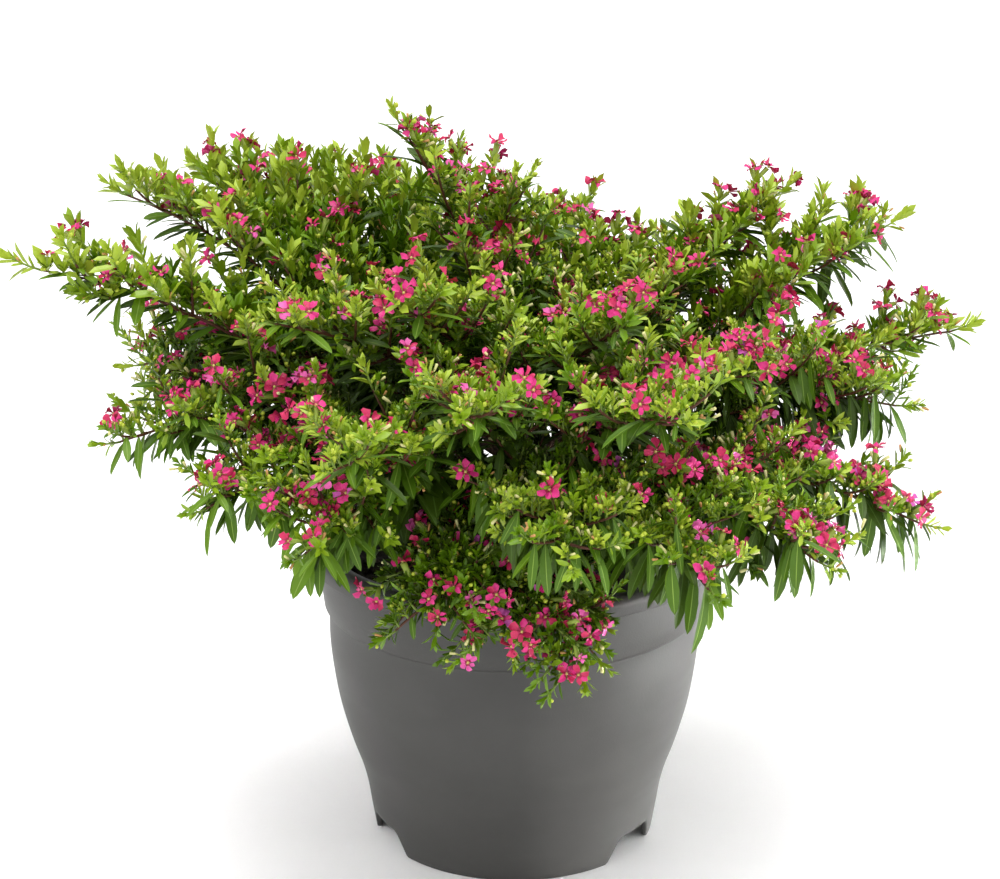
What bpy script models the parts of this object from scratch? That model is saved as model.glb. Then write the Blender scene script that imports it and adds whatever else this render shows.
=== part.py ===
"""A flowering cuphea in a round plastic nursery pot, at its real size, in metres, +Z up.

The pot stands on three feet, with the origin on the ground under its centre, and -Y is the front.
A short woody stem rises from the potting mix. Boughs arch out from it all round, and each one ends
where its mass of leafy, flowering twigs begins. Every bough, mass, the stem, the mix and the pot
is one closed solid.
"""

import math
import random
from collections import namedtuple

import bmesh
import bpy
from mathutils import Matrix, Vector
from mathutils.geometry import interpolate_bezier

# The pot: outer radii and heights
POT_SIDES = 36
WALL = 0.0022
LIP_RADIUS = 0.0950
LIP_TOP = 0.1443
LIP_UNDERSIDE = 0.1357
LIP_ROUNDING = 0.0028
SHOULDER_RADIUS = 0.0886
SHOULDER_STEP = 0.0018
SHOULDER_BOTTOM = 0.1110
BODY_STATIONS = (
    # height, radius of the body, from under the shoulder to the feet
    (SHOULDER_BOTTOM, 0.0853),
    (0.0930, 0.0853),
    (0.0700, 0.0822),
    (0.0450, 0.0753),
    (0.0240, 0.0690),
    (0.0000, 0.0652),
)
FLOOR_UNDERSIDE = 0.0140
FEET = 3
FRONT_FOOT_AZIMUTH = -94.0
NOTCH_HEIGHT = 0.0115
NOTCH_TOP_WIDTH = 0.0230
NOTCH_FOOT_WIDTH = 0.0350
NOTCH_CORNER = 0.0030

# The potting mix
CLEARANCE = 0.0003
MIX_TOP = 0.1300
MIX_CROWN = 0.0020

# The woody stem that carries every bough
TRUNK_SIDES = 12
TRUNK_FOOT = MIX_TOP + MIX_CROWN + CLEARANCE
TRUNK_TOP = 0.2040
TRUNK_FLARE_RADIUS = 0.0090
TRUNK_FLARE_HEIGHT = 0.0070
TRUNK_RADIUS = 0.0062
TRUNK_TOP_RADIUS = 0.0035
TRUNK_LEAN = 0.0030
BUD_SPACING = 0.0047
LOWEST_BUD = TRUNK_FOOT + 0.0090
HIGHEST_BUD = TRUNK_TOP - 0.0020
BUD_STEP = 0.0008
SAME_SIDE = math.radians(75.0)

# Limbs
BOUGH_SIDES = 5
BOUGH_FOOT_RADIUS = 0.0016
BOUGH_TIP_RADIUS = 0.0013
MASS_STEM_TIP_RADIUS = 0.0006
STEEPEST = math.radians(78.0)
LEAVING_PULL = 0.42
ARRIVING_PULL = 0.36
TIP_LEAF = 0.0160
PATH_STEPS = 24
BOUGH_STATIONS = 4
DEGREES_PER_STATION = 18.0

# Twigs: a seeded rule spreads them over each mass's stem, by turns of the golden angle
TWIG_SIDES = 3
TWIG_FOOT_RADIUS = 0.0012
TWIG_TIP_RADIUS = 0.0006
GOLDEN_ANGLE = math.radians(137.5)
TURN_VARIATION = 0.4
FIRST_TWIG = 0.08
TWIGS_OVER = 0.80
TWIG_SHORTENING = 0.75
TWIG_FORWARD = 0.50
TWIG_UPWARD = 0.35
TWIG_RAISED = 0.45
TWIG_SWING = 0.75

# The dense heart of each mass: its stem swells to a slim core that the twigs and leaves stand out of
CORE_SIDES = 6
CORE_RADIUS = 0.0120
CORE_RISE = 0.25
BARE_FOOT = 0.28
CORE_GAP = 0.0020

# Leaves and flowers, larger than life: each leaf stands for a leafy shoot
LEAF_LENGTH = 0.0480
LEAF_WIDTH = 0.0220
LEAF_THICKNESS = 0.0018
LEAF_WIDEST = 0.42
LEAF_SINK = 0.0008
LEAF_ROLL = math.radians(60.0)
LEAF_VARIATION = (0.85, 1.10)
STEM_PAIRS = 4
FIRST_PAIR = 0.14
PAIRS_OVER = 0.72
PAIR_TURN = 1.3
PAIR_FORWARD = 0.55
TWIG_PAIR_AT = 0.62
TWIG_PAIR_LIFT = 0.10
TWIG_LEAF_LEAST = 0.45
TWIG_LEAF_GAIN = 0.35
END_LEAF = 0.85
STEM_LEAF_MOST = 1.05
STEM_LEAF_LOSS = 0.50
FLOWER_RADIUS = 0.0100
FLOWER_THICKNESS = 0.0026
FLOWER_NOTCH = 0.52
PETALS = 6

# Room that each mass keeps
SPACE_GAP = 0.0011
LIMB_GAP = 0.0012
POT_GAP = 0.0030

# A tier is a ring of like boughs. rise: degrees that a bough leaves above the straight line to its
# tip. fall: degrees that it arrives below it. leafy_from: where along it the mass begins; at 0 the
# mass grows straight from the woody stem and has no bough. spread: how far its twigs stand off.
# hang: how much the leaves on its stem droop. twigs: how many. rows: name, azimuth in degrees from
# +X, reach from the axis, height of the tip.
Tier = namedtuple("Tier", "rise fall leafy_from spread hang twigs rows")
TIERS = (
    Tier(-4.0, 14.0, 0.42, 0.042, 0.15, 3, (
        ("far_left", -168.0, 0.222, 0.282),
        ("upper_left", 172.0, 0.191, 0.301),
        ("high_left", 153.0, 0.176, 0.298),
        ("ridge_left", 134.0, 0.173, 0.284),
        ("back_left", 110.0, 0.188, 0.262),
        ("back", 83.0, 0.186, 0.254),
        ("back_right", 57.0, 0.187, 0.243),
        ("upper_right", 31.0, 0.157, 0.291),
        ("shoulder_right", 23.0, 0.203, 0.273),
        ("far_right", 15.0, 0.228, 0.225),
        ("front_right", -68.0, 0.187, 0.251),
        ("front", -97.0, 0.176, 0.252),
        ("front_left", -113.0, 0.196, 0.232),
    )),
    Tier(24.0, 26.0, 0.40, 0.050, 1.00, 4, (
        ("left", -159.0, 0.196, 0.205),
        ("low_left", -141.0, 0.180, 0.188),
        ("low_front_left", -122.0, 0.175, 0.180),
        ("low_front", -82.0, 0.172, 0.184),
        ("low_front_right", -62.0, 0.181, 0.168),
        ("low_right", -41.0, 0.182, 0.166),
        ("right_foot", -18.0, 0.200, 0.164),
        ("right", -5.0, 0.186, 0.207),
    )),
    Tier(34.0, 34.0, 0.0, 0.050, 0.50, 3, (
        ("back_low_right", 46.0, 0.178, 0.186),
        ("back_low", 88.0, 0.182, 0.190),
        ("back_low_left", 142.0, 0.180, 0.192),
        ("left_inner", 179.0, 0.182, 0.218),
    )),
    Tier(62.0, 62.0, 0.0, 0.044, 0.20, 5, (
        ("trailing_right", -76.0, 0.125, 0.112),
        ("trailing_front", -90.0, 0.120, 0.130),
        ("trailing_left", -105.0, 0.128, 0.134),
    )),
    Tier(14.0, 14.0, 0.0, 0.044, 0.00, 4, (
        ("top", 175.0, 0.058, 0.343),
        ("top_back", 98.0, 0.080, 0.304),
        ("top_right", 58.0, 0.098, 0.270),
        ("saddle", 14.0, 0.092, 0.264),
        ("inner_left", -142.0, 0.142, 0.270),
        ("inner_front", -118.0, 0.112, 0.281),
        ("inner_front_right", -64.0, 0.112, 0.273),
        ("inner_right", -36.0, 0.138, 0.245),
    )),
)

Shoot = namedtuple("Shoot", "name bough stem spread hang twigs")


# Scene, materials and small helpers


def clear_scene():
    for obj in list(bpy.data.objects):
        bpy.data.objects.remove(obj, do_unlink=True)


def new_collection(name, hidden=False):
    collection = bpy.data.collections.new(name)
    collection.hide_render = hidden
    bpy.context.scene.collection.children.link(collection)
    return collection


def principled(name, colour, roughness):
    material = bpy.data.materials.new(name)
    material.use_nodes = True
    shader = material.node_tree.nodes["Principled BSDF"]
    shader.inputs["Base Color"].default_value = (*colour, 1.0)
    shader.inputs["Roughness"].default_value = roughness
    shader.inputs["Metallic"].default_value = 0.0
    return material


def add_object(name, mesh, collection, material=None):
    obj = bpy.data.objects.new(name, mesh)
    collection.objects.link(obj)
    if material:
        mesh.materials.append(material)
    return obj


def frozen(obj, name, collection, material=None, weld=1e-6):
    """A new mesh object with obj's modifiers or curve turned into plain faces, in obj's place."""
    bpy.context.view_layer.update()
    graph = bpy.context.evaluated_depsgraph_get()
    mesh = bpy.data.meshes.new_from_object(obj.evaluated_get(graph))
    mesh.transform(obj.matrix_world)
    mesh.materials.clear()
    bpy.data.objects.remove(obj, do_unlink=True)
    if weld:
        shape = bmesh.new()
        shape.from_mesh(mesh)
        bmesh.ops.remove_doubles(shape, verts=shape.verts, dist=weld)
        shape.to_mesh(mesh)
        shape.free()
    mesh.name = name
    return add_object(name, mesh, collection, material)


def smooth(obj, angle=40.0):
    obj.data.shade_smooth()
    obj.data.set_sharp_from_angle(angle=math.radians(angle))


def turned(name, profile, collection, material=None):
    """A ring or bowl: the profile of (radius, height) points turned once round +Z."""
    mesh = bpy.data.meshes.new(name)
    edges = [(i, i + 1) for i in range(len(profile) - 1)]
    mesh.from_pydata([(radius, 0.0, height) for radius, height in profile], edges, [])
    obj = add_object(name, mesh, collection, material)
    screw = obj.modifiers.new("turn", "SCREW")
    screw.steps = screw.render_steps = POT_SIDES
    screw.use_merge_vertices = True
    screw.merge_threshold = 1e-5
    return obj


def tube(name, stations, sides, collection, material=None):
    """A tapering limb with closed ends: flat sides run along (point, radius) stations."""
    outline = bpy.data.curves.new(name + "_outline", "CURVE")
    ring = outline.splines.new("POLY")
    ring.points.add(sides - 1)
    for i, point in enumerate(ring.points):
        angle = math.tau * i / sides
        point.co = (math.cos(angle), math.sin(angle), 0.0, 1.0)
    ring.use_cyclic_u = True
    section = bpy.data.objects.new(name + "_outline", outline)
    line = bpy.data.curves.new(name, "CURVE")
    line.dimensions = "3D"
    line.bevel_mode = "OBJECT"
    line.bevel_object = section
    line.use_fill_caps = True
    spline = line.splines.new("POLY")
    spline.points.add(len(stations) - 1)
    for point, (place, radius) in zip(spline.points, stations):
        point.co = (*place, 1.0)
        point.radius = radius
    obj = frozen(add_object(name, line, collection), name, collection, material)
    bpy.data.objects.remove(section, do_unlink=True)
    shape = bmesh.new()
    shape.from_mesh(obj.data)
    bmesh.ops.recalc_face_normals(shape, faces=shape.faces)
    shape.to_mesh(obj.data)
    shape.free()
    return obj


# The pot and its potting mix


def inner_wall(gap=0.0):
    """(radius, height) of the pot's inner wall from the lip's top down to the floor, less a gap."""
    offset = WALL + gap
    points = [(SHOULDER_RADIUS - offset, LIP_TOP), (SHOULDER_RADIUS - offset, LIP_UNDERSIDE)]
    points += [
        (radius - offset, height)
        for height, radius in BODY_STATIONS
        if height > FLOOR_UNDERSIDE + WALL
    ]
    (upper_z, upper_r), (lower_z, lower_r) = BODY_STATIONS[-2:]
    floor_height = FLOOR_UNDERSIDE + WALL + gap
    share = (floor_height - lower_z) / (upper_z - lower_z)
    points.append((lower_r + share * (upper_r - lower_r) - offset, floor_height))
    return points


def make_pot(collection, cutters, material):
    inside = inner_wall()
    lip = [
        (LIP_RADIUS - LIP_ROUNDING, LIP_TOP),
        (LIP_RADIUS, LIP_TOP - LIP_ROUNDING),
        (LIP_RADIUS, LIP_UNDERSIDE),
        (SHOULDER_RADIUS, LIP_UNDERSIDE),
    ]
    shoulder = [(BODY_STATIONS[0][1] + SHOULDER_STEP, SHOULDER_BOTTOM + SHOULDER_STEP)]
    body = [(radius, height) for height, radius in BODY_STATIONS]
    foot_radius = body[-1][0]
    skirt = [
        (foot_radius - WALL, 0.0),
        (inside[-1][0], FLOOR_UNDERSIDE),
        (0.0, FLOOR_UNDERSIDE),
    ]
    floor_centre = (0.0, FLOOR_UNDERSIDE + WALL)
    pot = turned("pot", [floor_centre, *reversed(inside), *lip, *shoulder, *body, *skirt],
                 collection, material)
    for number in range(FEET):
        azimuth = FRONT_FOOT_AZIMUTH + (number + 0.5) * 360.0 / FEET
        cut = pot.modifiers.new(f"notch_{number}", "BOOLEAN")
        cut.operation = "DIFFERENCE"
        cut.solver = "EXACT"
        cut.object = notch_cutter(f"notch_cutter_{number}", azimuth, cutters)
    smooth(pot)
    return pot


def notch_cutter(name, azimuth, cutters):
    """A trapezoid, wider at the ground, with bevelled upper corners, driven through the skirt."""
    below = -0.004
    slope = (NOTCH_FOOT_WIDTH - NOTCH_TOP_WIDTH) / (2 * NOTCH_HEIGHT)
    half_below = NOTCH_FOOT_WIDTH / 2 - below * slope
    half_top = NOTCH_TOP_WIDTH / 2
    corner = NOTCH_CORNER
    outline = [
        (-half_below, below),
        (half_below, below),
        (half_top + corner * slope, NOTCH_HEIGHT - corner),
        (half_top - corner, NOTCH_HEIGHT),
        (corner - half_top, NOTCH_HEIGHT),
        (-half_top - corner * slope, NOTCH_HEIGHT - corner),
    ]
    curve = bpy.data.curves.new(name, "CURVE")
    curve.dimensions = "2D"
    curve.fill_mode = "BOTH"
    curve.extrude = 0.020
    spline = curve.splines.new("POLY")
    spline.points.add(len(outline) - 1)
    for point, (across, height) in zip(spline.points, outline):
        point.co = (across, height, 0.0, 1.0)
    spline.use_cyclic_u = True
    plate = add_object(name, curve, cutters)
    turn = Matrix.Rotation(math.radians(azimuth - 90.0), 4, "Z")
    stand = Matrix.Rotation(math.radians(90.0), 4, "X")
    plate.matrix_world = turn @ Matrix.Translation((0.0, BODY_STATIONS[-1][1], 0.0)) @ stand
    cutter = frozen(plate, name, cutters)
    cutter.hide_render = True
    cutter.display_type = "WIRE"
    return cutter


def make_mix(collection, material):
    wall = [(radius, height) for radius, height in inner_wall(CLEARANCE) if height < MIX_TOP]
    upper = inner_wall(CLEARANCE)[1][0]
    lower_radius, lower_height = wall[0]
    share = (MIX_TOP - lower_height) / (LIP_UNDERSIDE - lower_height)
    edge = (lower_radius + share * (upper - lower_radius), MIX_TOP)
    crown_height = MIX_TOP + MIX_CROWN
    top = [(0.0, crown_height), (TRUNK_FLARE_RADIUS + 0.004, crown_height), (0.055, MIX_TOP)]
    mix = turned("potting_mix", [*top, edge, *wall, (0.0, wall[-1][1])], collection, material)
    smooth(mix)
    return mix


# The woody stem and the lines that the boughs follow


def trunk_centre(height):
    share = (height - TRUNK_FOOT) / (TRUNK_TOP - TRUNK_FOOT)
    return Vector((TRUNK_LEAN * share * share, 0.0, height))


def trunk_radius(height):
    rise = height - TRUNK_FOOT
    if rise < TRUNK_FLARE_HEIGHT:
        flare = (1.0 - rise / TRUNK_FLARE_HEIGHT) ** 2
        return TRUNK_RADIUS + flare * (TRUNK_FLARE_RADIUS - TRUNK_RADIUS)
    share = (rise - TRUNK_FLARE_HEIGHT) / (TRUNK_TOP - TRUNK_FOOT - TRUNK_FLARE_HEIGHT)
    return TRUNK_RADIUS + share * (TRUNK_TOP_RADIUS - TRUNK_RADIUS)


def make_trunk(collection, material):
    rises = (0.0, 0.0025, 0.007, 0.020, 0.040)
    heights = [TRUNK_FOOT + rise for rise in rises] + [TRUNK_TOP]
    stations = [(trunk_centre(z), trunk_radius(z)) for z in heights]
    trunk = tube("main_stem", stations, TRUNK_SIDES, collection, material)
    for vertex in trunk.data.vertices:
        if vertex.co.z < TRUNK_FOOT + 0.0005:
            vertex.co.z = TRUNK_FOOT
    smooth(trunk, 60.0)
    return trunk


def bud_height(azimuth, wanted, taken):
    """A bud's height: the wanted one, or higher where a bud already taken would be too near. The
    steeper bough is always above the flatter one on the same side, so that no two cross."""
    height = wanted
    for other, other_height in taken:
        turn = abs(math.remainder(azimuth - other, math.tau))
        if turn < SAME_SIDE:
            chord = 2.0 * trunk_radius(other_height) * math.sin(turn / 2.0)
            rise = math.sqrt(max(0.0, BUD_SPACING ** 2 - chord ** 2))
            height = max(height, other_height + rise)
    if height > HIGHEST_BUD:
        raise ValueError("the woody stem has no room for another bough")
    return height


def bough_path(place, azimuth, reach, tip_height, rise, fall):
    """A bent line from the stem's surface to a tip leaf's length short of the tip. It leaves above
    the straight line between them and arrives below it."""
    outward = Vector((math.cos(azimuth), math.sin(azimuth), 0.0))
    tip = outward * reach + Vector((0.0, 0.0, tip_height))
    straight = math.atan2(tip_height - place.z, (tip - place).xy.length)
    span = (tip - place).length

    def heading(elevation):
        return outward * math.cos(elevation) + Vector((0.0, 0.0, math.sin(elevation)))

    leave = min(straight + math.radians(rise), STEEPEST)
    arrive = straight - math.radians(fall)
    tip -= heading(arrive) * TIP_LEAF
    return interpolate_bezier(place, place + heading(leave) * span * LEAVING_PULL,
                              tip - heading(arrive) * span * ARRIVING_PULL, tip, PATH_STEPS + 1)


def make_shoots():
    """Every shoot's bough and mass stem, from the flattest on the lowest bud to the steepest."""
    rows = [(tier, *row) for tier in TIERS for row in tier.rows]

    def steepness(row):
        return (row[4] - LOWEST_BUD) / row[3]

    rows.sort(key=steepness)
    shoots, taken = [], []
    for rank, (tier, name, degrees, reach, height) in enumerate(rows):
        azimuth = math.radians(degrees)
        wanted = LOWEST_BUD + BUD_STEP * rank
        bud = bud_height(azimuth, wanted, taken)
        taken.append((azimuth, bud))
        outward = Vector((math.cos(azimuth), math.sin(azimuth), 0.0))
        place = trunk_centre(bud) + outward * trunk_radius(bud)
        path = bough_path(place, azimuth, reach, height, tier.rise, tier.fall)
        bend = (abs(tier.rise) + abs(tier.fall)) / 2
        bough, stem = split_path(path, tier.leafy_from, bend)
        seat(bough or stem, outward)
        shoots.append(Shoot(name, bough, stem, tier.spread, tier.hang, tier.twigs))
    return shoots


def taper(share):
    """A shoot's radius at a share of its length."""
    if share < 0.5:
        return BOUGH_FOOT_RADIUS + 2 * share * (BOUGH_TIP_RADIUS - BOUGH_FOOT_RADIUS)
    return BOUGH_TIP_RADIUS + (2 * share - 1) * (MASS_STEM_TIP_RADIUS - BOUGH_TIP_RADIUS)


def split_path(path, leafy_from, bend):
    """The stations, (point, radius) pairs, of the bough and of the mass's stem, a clearance apart.
    A line that bends more gets more of them."""
    cut = round(leafy_from * PATH_STEPS)
    count = BOUGH_STATIONS + round(bend / DEGREES_PER_STATION)
    stations = [(point, taper(i / PATH_STEPS)) for i, point in enumerate(path)]
    stem = stations[cut:]
    if not cut:
        return [], thinned(stem, count + 1)
    forward = (stem[1][0] - stem[0][0]).normalized()
    stem[0] = (stem[0][0] + forward * CLEARANCE * 1.2, stem[0][1])
    return thinned(stations[:cut + 1], count), thinned(stem, count)


def seat(stations, outward):
    """Draws the foot out from the woody stem's surface until its tilted end face is just clear."""
    (place, radius), (second, _) = stations[:2]
    steepness = (second - place).normalized().z
    stations[0] = (place + outward * (CLEARANCE + radius * steepness), radius)


def thinned(stations, count):
    """About count stations spread evenly, the first and the last among them."""
    last = len(stations) - 1
    return [stations[i] for i in sorted({round(last * i / (count - 1)) for i in range(count)})]


def points_of(stations):
    return [point for point, _ in stations]


# Room: what each twig and leaf is tested against


def distance_to_line(point, line):
    best = math.inf
    for a, b in zip(line, line[1:]):
        along = b - a
        share = max(0.0, min(1.0, (point - a).dot(along) / along.length_squared))
        best = min(best, (point - a - along * share).length)
    return best


class Room:
    """The space of one mass: the points nearer its own stem than any other mass's stem, clear of
    every bough, the woody stem, the mix and the pot, and within the mass's spread."""

    def __init__(self, shoot, stems, limbs):
        self.own = stems[shoot.name]
        self.others = [line for name, line in stems.items() if name != shoot.name]
        self.limbs = limbs
        self.trunk = [trunk_centre(TRUNK_FOOT), trunk_centre(TRUNK_TOP)]

    def holds(self, point, extra=0.0):
        flat = math.hypot(point.x, point.y)
        over_lip = point.z - LIP_TOP
        if over_lip < POT_GAP and flat < LIP_RADIUS + POT_GAP:
            return False
        if point.z > TRUNK_FOOT and distance_to_line(point, self.trunk) < TRUNK_FLARE_RADIUS:
            return False
        limb_gap = BOUGH_FOOT_RADIUS + LIMB_GAP + extra
        if any(distance_to_line(point, line) < limb_gap for line in self.limbs):
            return False
        own = distance_to_line(point, self.own) + 2.0 * SPACE_GAP + extra
        return all(distance_to_line(point, line) > own for line in self.others)


# Twigs, leaves and flowers


def leaf_mesh():
    """One blade of eight faces from (0, 0, 0) to (1, 0, 0): a ball of two bands, widest near its foot."""
    shape = bmesh.new()
    bmesh.ops.create_uvsphere(shape, u_segments=4, v_segments=2, radius=0.5,
                              matrix=Matrix.Rotation(math.radians(90.0), 4, "Y"))
    for vertex in shape.verts:
        vertex.co.x = LEAF_WIDEST if abs(vertex.co.x) < 0.1 else vertex.co.x + 0.5
    mesh = bpy.data.meshes.new("leaf_blade")
    shape.to_mesh(mesh)
    shape.free()
    return mesh


def flower_mesh():
    """A six-petalled star, thin at its rim, on its own centre and facing +X."""
    shape = bmesh.new()
    bmesh.ops.create_uvsphere(shape, u_segments=2 * PETALS, v_segments=2, radius=1.0,
                              matrix=Matrix.Rotation(math.radians(90.0), 4, "Y"))
    for vertex in shape.verts:
        if abs(vertex.co.x) < 0.1:
            angle = math.atan2(vertex.co.z, vertex.co.y)
            if round(angle * PETALS / math.pi) % 2:
                vertex.co *= FLOWER_NOTCH
        else:
            vertex.co.x *= 0.5
    mesh = bpy.data.meshes.new("flower_star")
    shape.to_mesh(mesh)
    shape.free()
    return mesh


def placed(name, mesh, root, along, up, sizes, collection):
    """A copy of a unit mesh with its X run along a direction and its Z as near up as it can be."""
    along = along.normalized()
    side = up.cross(along)
    side = side.normalized() if side.length > 1e-6 else along.orthogonal().normalized()
    normal = along.cross(side)
    obj = bpy.data.objects.new(name, mesh)
    collection.objects.link(obj)
    turn = Matrix((along, side, normal)).transposed().to_4x4()
    obj.matrix_world = Matrix.Translation(root) @ turn @ Matrix.Diagonal((*sizes, 1.0))
    return obj


def twig_cone(name, foot, tip, collection):
    """A straight three-sided twig."""
    shape = bmesh.new()
    bmesh.ops.create_cone(shape, cap_ends=True, cap_tris=True, segments=TWIG_SIDES,
                          radius1=TWIG_FOOT_RADIUS, radius2=TWIG_TIP_RADIUS,
                          depth=(tip - foot).length)
    mesh = bpy.data.meshes.new(name)
    shape.to_mesh(mesh)
    shape.free()
    obj = bpy.data.objects.new(name, mesh)
    collection.objects.link(obj)
    turn = (tip - foot).to_track_quat("Z", "Y").to_matrix().to_4x4()
    obj.matrix_world = Matrix.Translation((foot + tip) / 2) @ turn
    return obj


def stem_place(stem, share):
    """The point and the forward direction at a share of a mass stem's length."""
    place = share * (len(stem) - 1)
    index = min(int(place), len(stem) - 2)
    a, b = stem[index][0], stem[index + 1][0]
    return a.lerp(b, place - index), (b - a).normalized()


def twig_rule(stem, spread, count, seed):
    """The first-order twigs of a mass: (foot, tip) pairs. They stand off by turns of the golden
    angle, lean forward, are drawn upwards, and shorten towards the mass's tip."""
    draw = random.Random(seed)
    twigs = []
    for number in range(count):
        share = FIRST_TWIG + TWIGS_OVER * (number + 0.5) / count
        foot, forward = stem_place(stem, share)
        across = forward.cross(Vector((0.0, 0.0, 1.0))).normalized()
        above = across.cross(forward)
        angle = number * GOLDEN_ANGLE + draw.uniform(-TURN_VARIATION, TURN_VARIATION)
        off = across * math.cos(angle) + above * (TWIG_RAISED + TWIG_SWING * math.sin(angle))
        length = spread * (1.0 - TWIG_SHORTENING * share) * draw.uniform(*LEAF_VARIATION)
        way = forward * TWIG_FORWARD + off.normalized() + Vector((0.0, 0.0, TWIG_UPWARD))
        twigs.append((foot, foot + way.normalized() * length))
    return twigs


def drop_scraps(mesh):
    """Leaves only the largest connected body of a mesh."""
    shape = bmesh.new()
    shape.from_mesh(mesh)
    bodies, left = [], set(shape.verts)
    while left:
        body, edge = set(), [left.pop()]
        while edge:
            vertex = edge.pop()
            body.add(vertex)
            linked = {e.other_vert(vertex) for e in vertex.link_edges} & left
            left -= linked
            edge += linked
        bodies.append(body)
    bodies.sort(key=len)
    scraps = [vertex for body in bodies[:-1] for vertex in body]
    bmesh.ops.delete(shape, geom=scraps, context="VERTS")
    shape.to_mesh(mesh)
    shape.free()


class MassBuilder:
    """Collects the closed pieces of one mass, each tested against its room, and joins them."""

    def __init__(self, shoot, room, blade, star):
        self.shoot, self.stem, self.room = shoot, shoot.stem, room
        self.blade, self.star = blade, star
        self.draw = random.Random(shoot.name)
        self.pieces = bpy.data.collections.new("pieces_" + shoot.name)
        bpy.context.scene.collection.children.link(self.pieces)

    def leaf(self, root, along, length):
        along = along.normalized()
        width = length * LEAF_WIDTH / LEAF_LENGTH
        flat = along.cross(Vector((0.0, 0.0, 1.0))).normalized()
        up = Matrix.Rotation(self.draw.uniform(-LEAF_ROLL, LEAF_ROLL), 3, along) @ flat.cross(along)
        side = up.cross(along).normalized() * width / 2
        tests = [root + along * length * share for share in (0.25, 0.55, 0.8, 1.0)]
        middle = root + along * length * LEAF_WIDEST
        tests += [middle + side, middle - side]
        if not all(self.room.holds(point) for point in tests):
            return
        placed("leaf", self.blade, root - along * LEAF_SINK, along, up,
               (length, width, LEAF_THICKNESS), self.pieces)

    def flower(self, centre, facing):
        facing = facing.normalized()
        radius = FLOWER_RADIUS
        across = facing.orthogonal().normalized() * radius
        other = facing.cross(across)
        ring = [centre + across * math.cos(a) + other * math.sin(a)
                for a in (math.tau * i / 8 for i in range(8))]
        if all(self.room.holds(point) for point in ring):
            placed("flower", self.star, centre + facing * 0.0004, facing, across,
                   (FLOWER_THICKNESS, radius, radius), self.pieces)

    def leaf_pair(self, root, forward, turn, length, lift):
        """Two opposite leaves, their pair turned about the twig."""
        across = forward.orthogonal().normalized()
        across = Matrix.Rotation(turn, 3, forward) @ across
        for side in (-1.0, 1.0):
            way = across * side + forward * PAIR_FORWARD + Vector((0.0, 0.0, lift))
            self.leaf(root, way, length * self.draw.uniform(*LEAF_VARIATION))

    def twig(self, foot, tip, number):
        """A twig, shortened until it keeps to its room, with its leaves and sometimes a flower."""
        for length in (1.0, 0.75, 0.5):
            end = foot.lerp(tip, length)
            samples = [foot.lerp(end, share) for share in (0.2, 0.4, 0.6, 0.8, 1.0)]
            if all(self.room.holds(point) for point in samples):
                break
        else:
            return
        twig_cone("twig", foot, end, self.pieces)
        forward = (end - foot).normalized()
        reach = (end - foot).length / self.shoot.spread
        size = LEAF_LENGTH * (TWIG_LEAF_LEAST + TWIG_LEAF_GAIN * reach)
        self.leaf_pair(foot.lerp(end, TWIG_PAIR_AT), forward, number * GOLDEN_ANGLE, size,
                       TWIG_PAIR_LIFT)
        self.leaf(end - forward * 0.002, forward + Vector((0.0, 0.0, 0.15)), size * END_LEAF)
        if number % 2:
            self.flower(end - forward * 0.0005, forward + Vector((0.0, -0.2, 0.6)))

    def core(self, collection, material):
        """The stem as a tube that swells into the core, drawn in wherever it would leave its room."""
        last = len(self.stem) - 1
        bare = 0.0 if self.shoot.bough else BARE_FOOT
        stations = []
        for number, (place, radius) in enumerate(self.stem):
            share = max(0.0, number / last - bare) / (1.0 - bare)
            swell = math.sin(math.pi * min(1.0, share / CORE_RISE) / 2.0) * (1.0 - share) ** 0.5
            stations.append((place, max(radius, CORE_RADIUS * swell * self.draw.uniform(*LEAF_VARIATION))))
        body = tube(self.shoot.name + "_foliage", stations, CORE_SIDES, collection, material)
        for vertex in body.data.vertices:
            place, radius = min(self.stem, key=lambda station: (station[0] - vertex.co).length)
            off = vertex.co - place
            if off.length > 2.0 * radius:
                off *= self.draw.uniform(0.75, 1.25)
            while off.length > radius and not self.room.holds(place + off, CORE_GAP):
                off *= 0.9
            vertex.co = place + off
        return body

    def build(self, collection, material):
        body = self.core(collection, material)
        twigs = twig_rule(self.stem, self.shoot.spread, self.shoot.twigs, self.shoot.name)
        for number, (foot, tip) in enumerate(twigs):
            self.twig(foot, tip, number)
        for number in range(STEM_PAIRS):
            share = FIRST_PAIR + PAIRS_OVER * number / (STEM_PAIRS - 1)
            root, forward = stem_place(self.stem, share)
            size = LEAF_LENGTH * (STEM_LEAF_MOST - STEM_LEAF_LOSS * share)
            self.leaf_pair(root, forward, PAIR_TURN * number, size, -self.shoot.hang)
        root, forward = stem_place(self.stem, 0.985)
        self.leaf(root, forward, TIP_LEAF * 1.2)
        join = body.modifiers.new("join", "BOOLEAN")
        join.operation = "UNION"
        join.operand_type = "COLLECTION"
        join.collection = self.pieces
        join.solver = "MANIFOLD"
        mass = frozen(body, body.name, collection, material, weld=0.0)
        drop_scraps(mass.data)
        for piece in list(self.pieces.objects):
            bpy.data.objects.remove(piece, do_unlink=True)
        bpy.data.collections.remove(self.pieces)
        return mass


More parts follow.
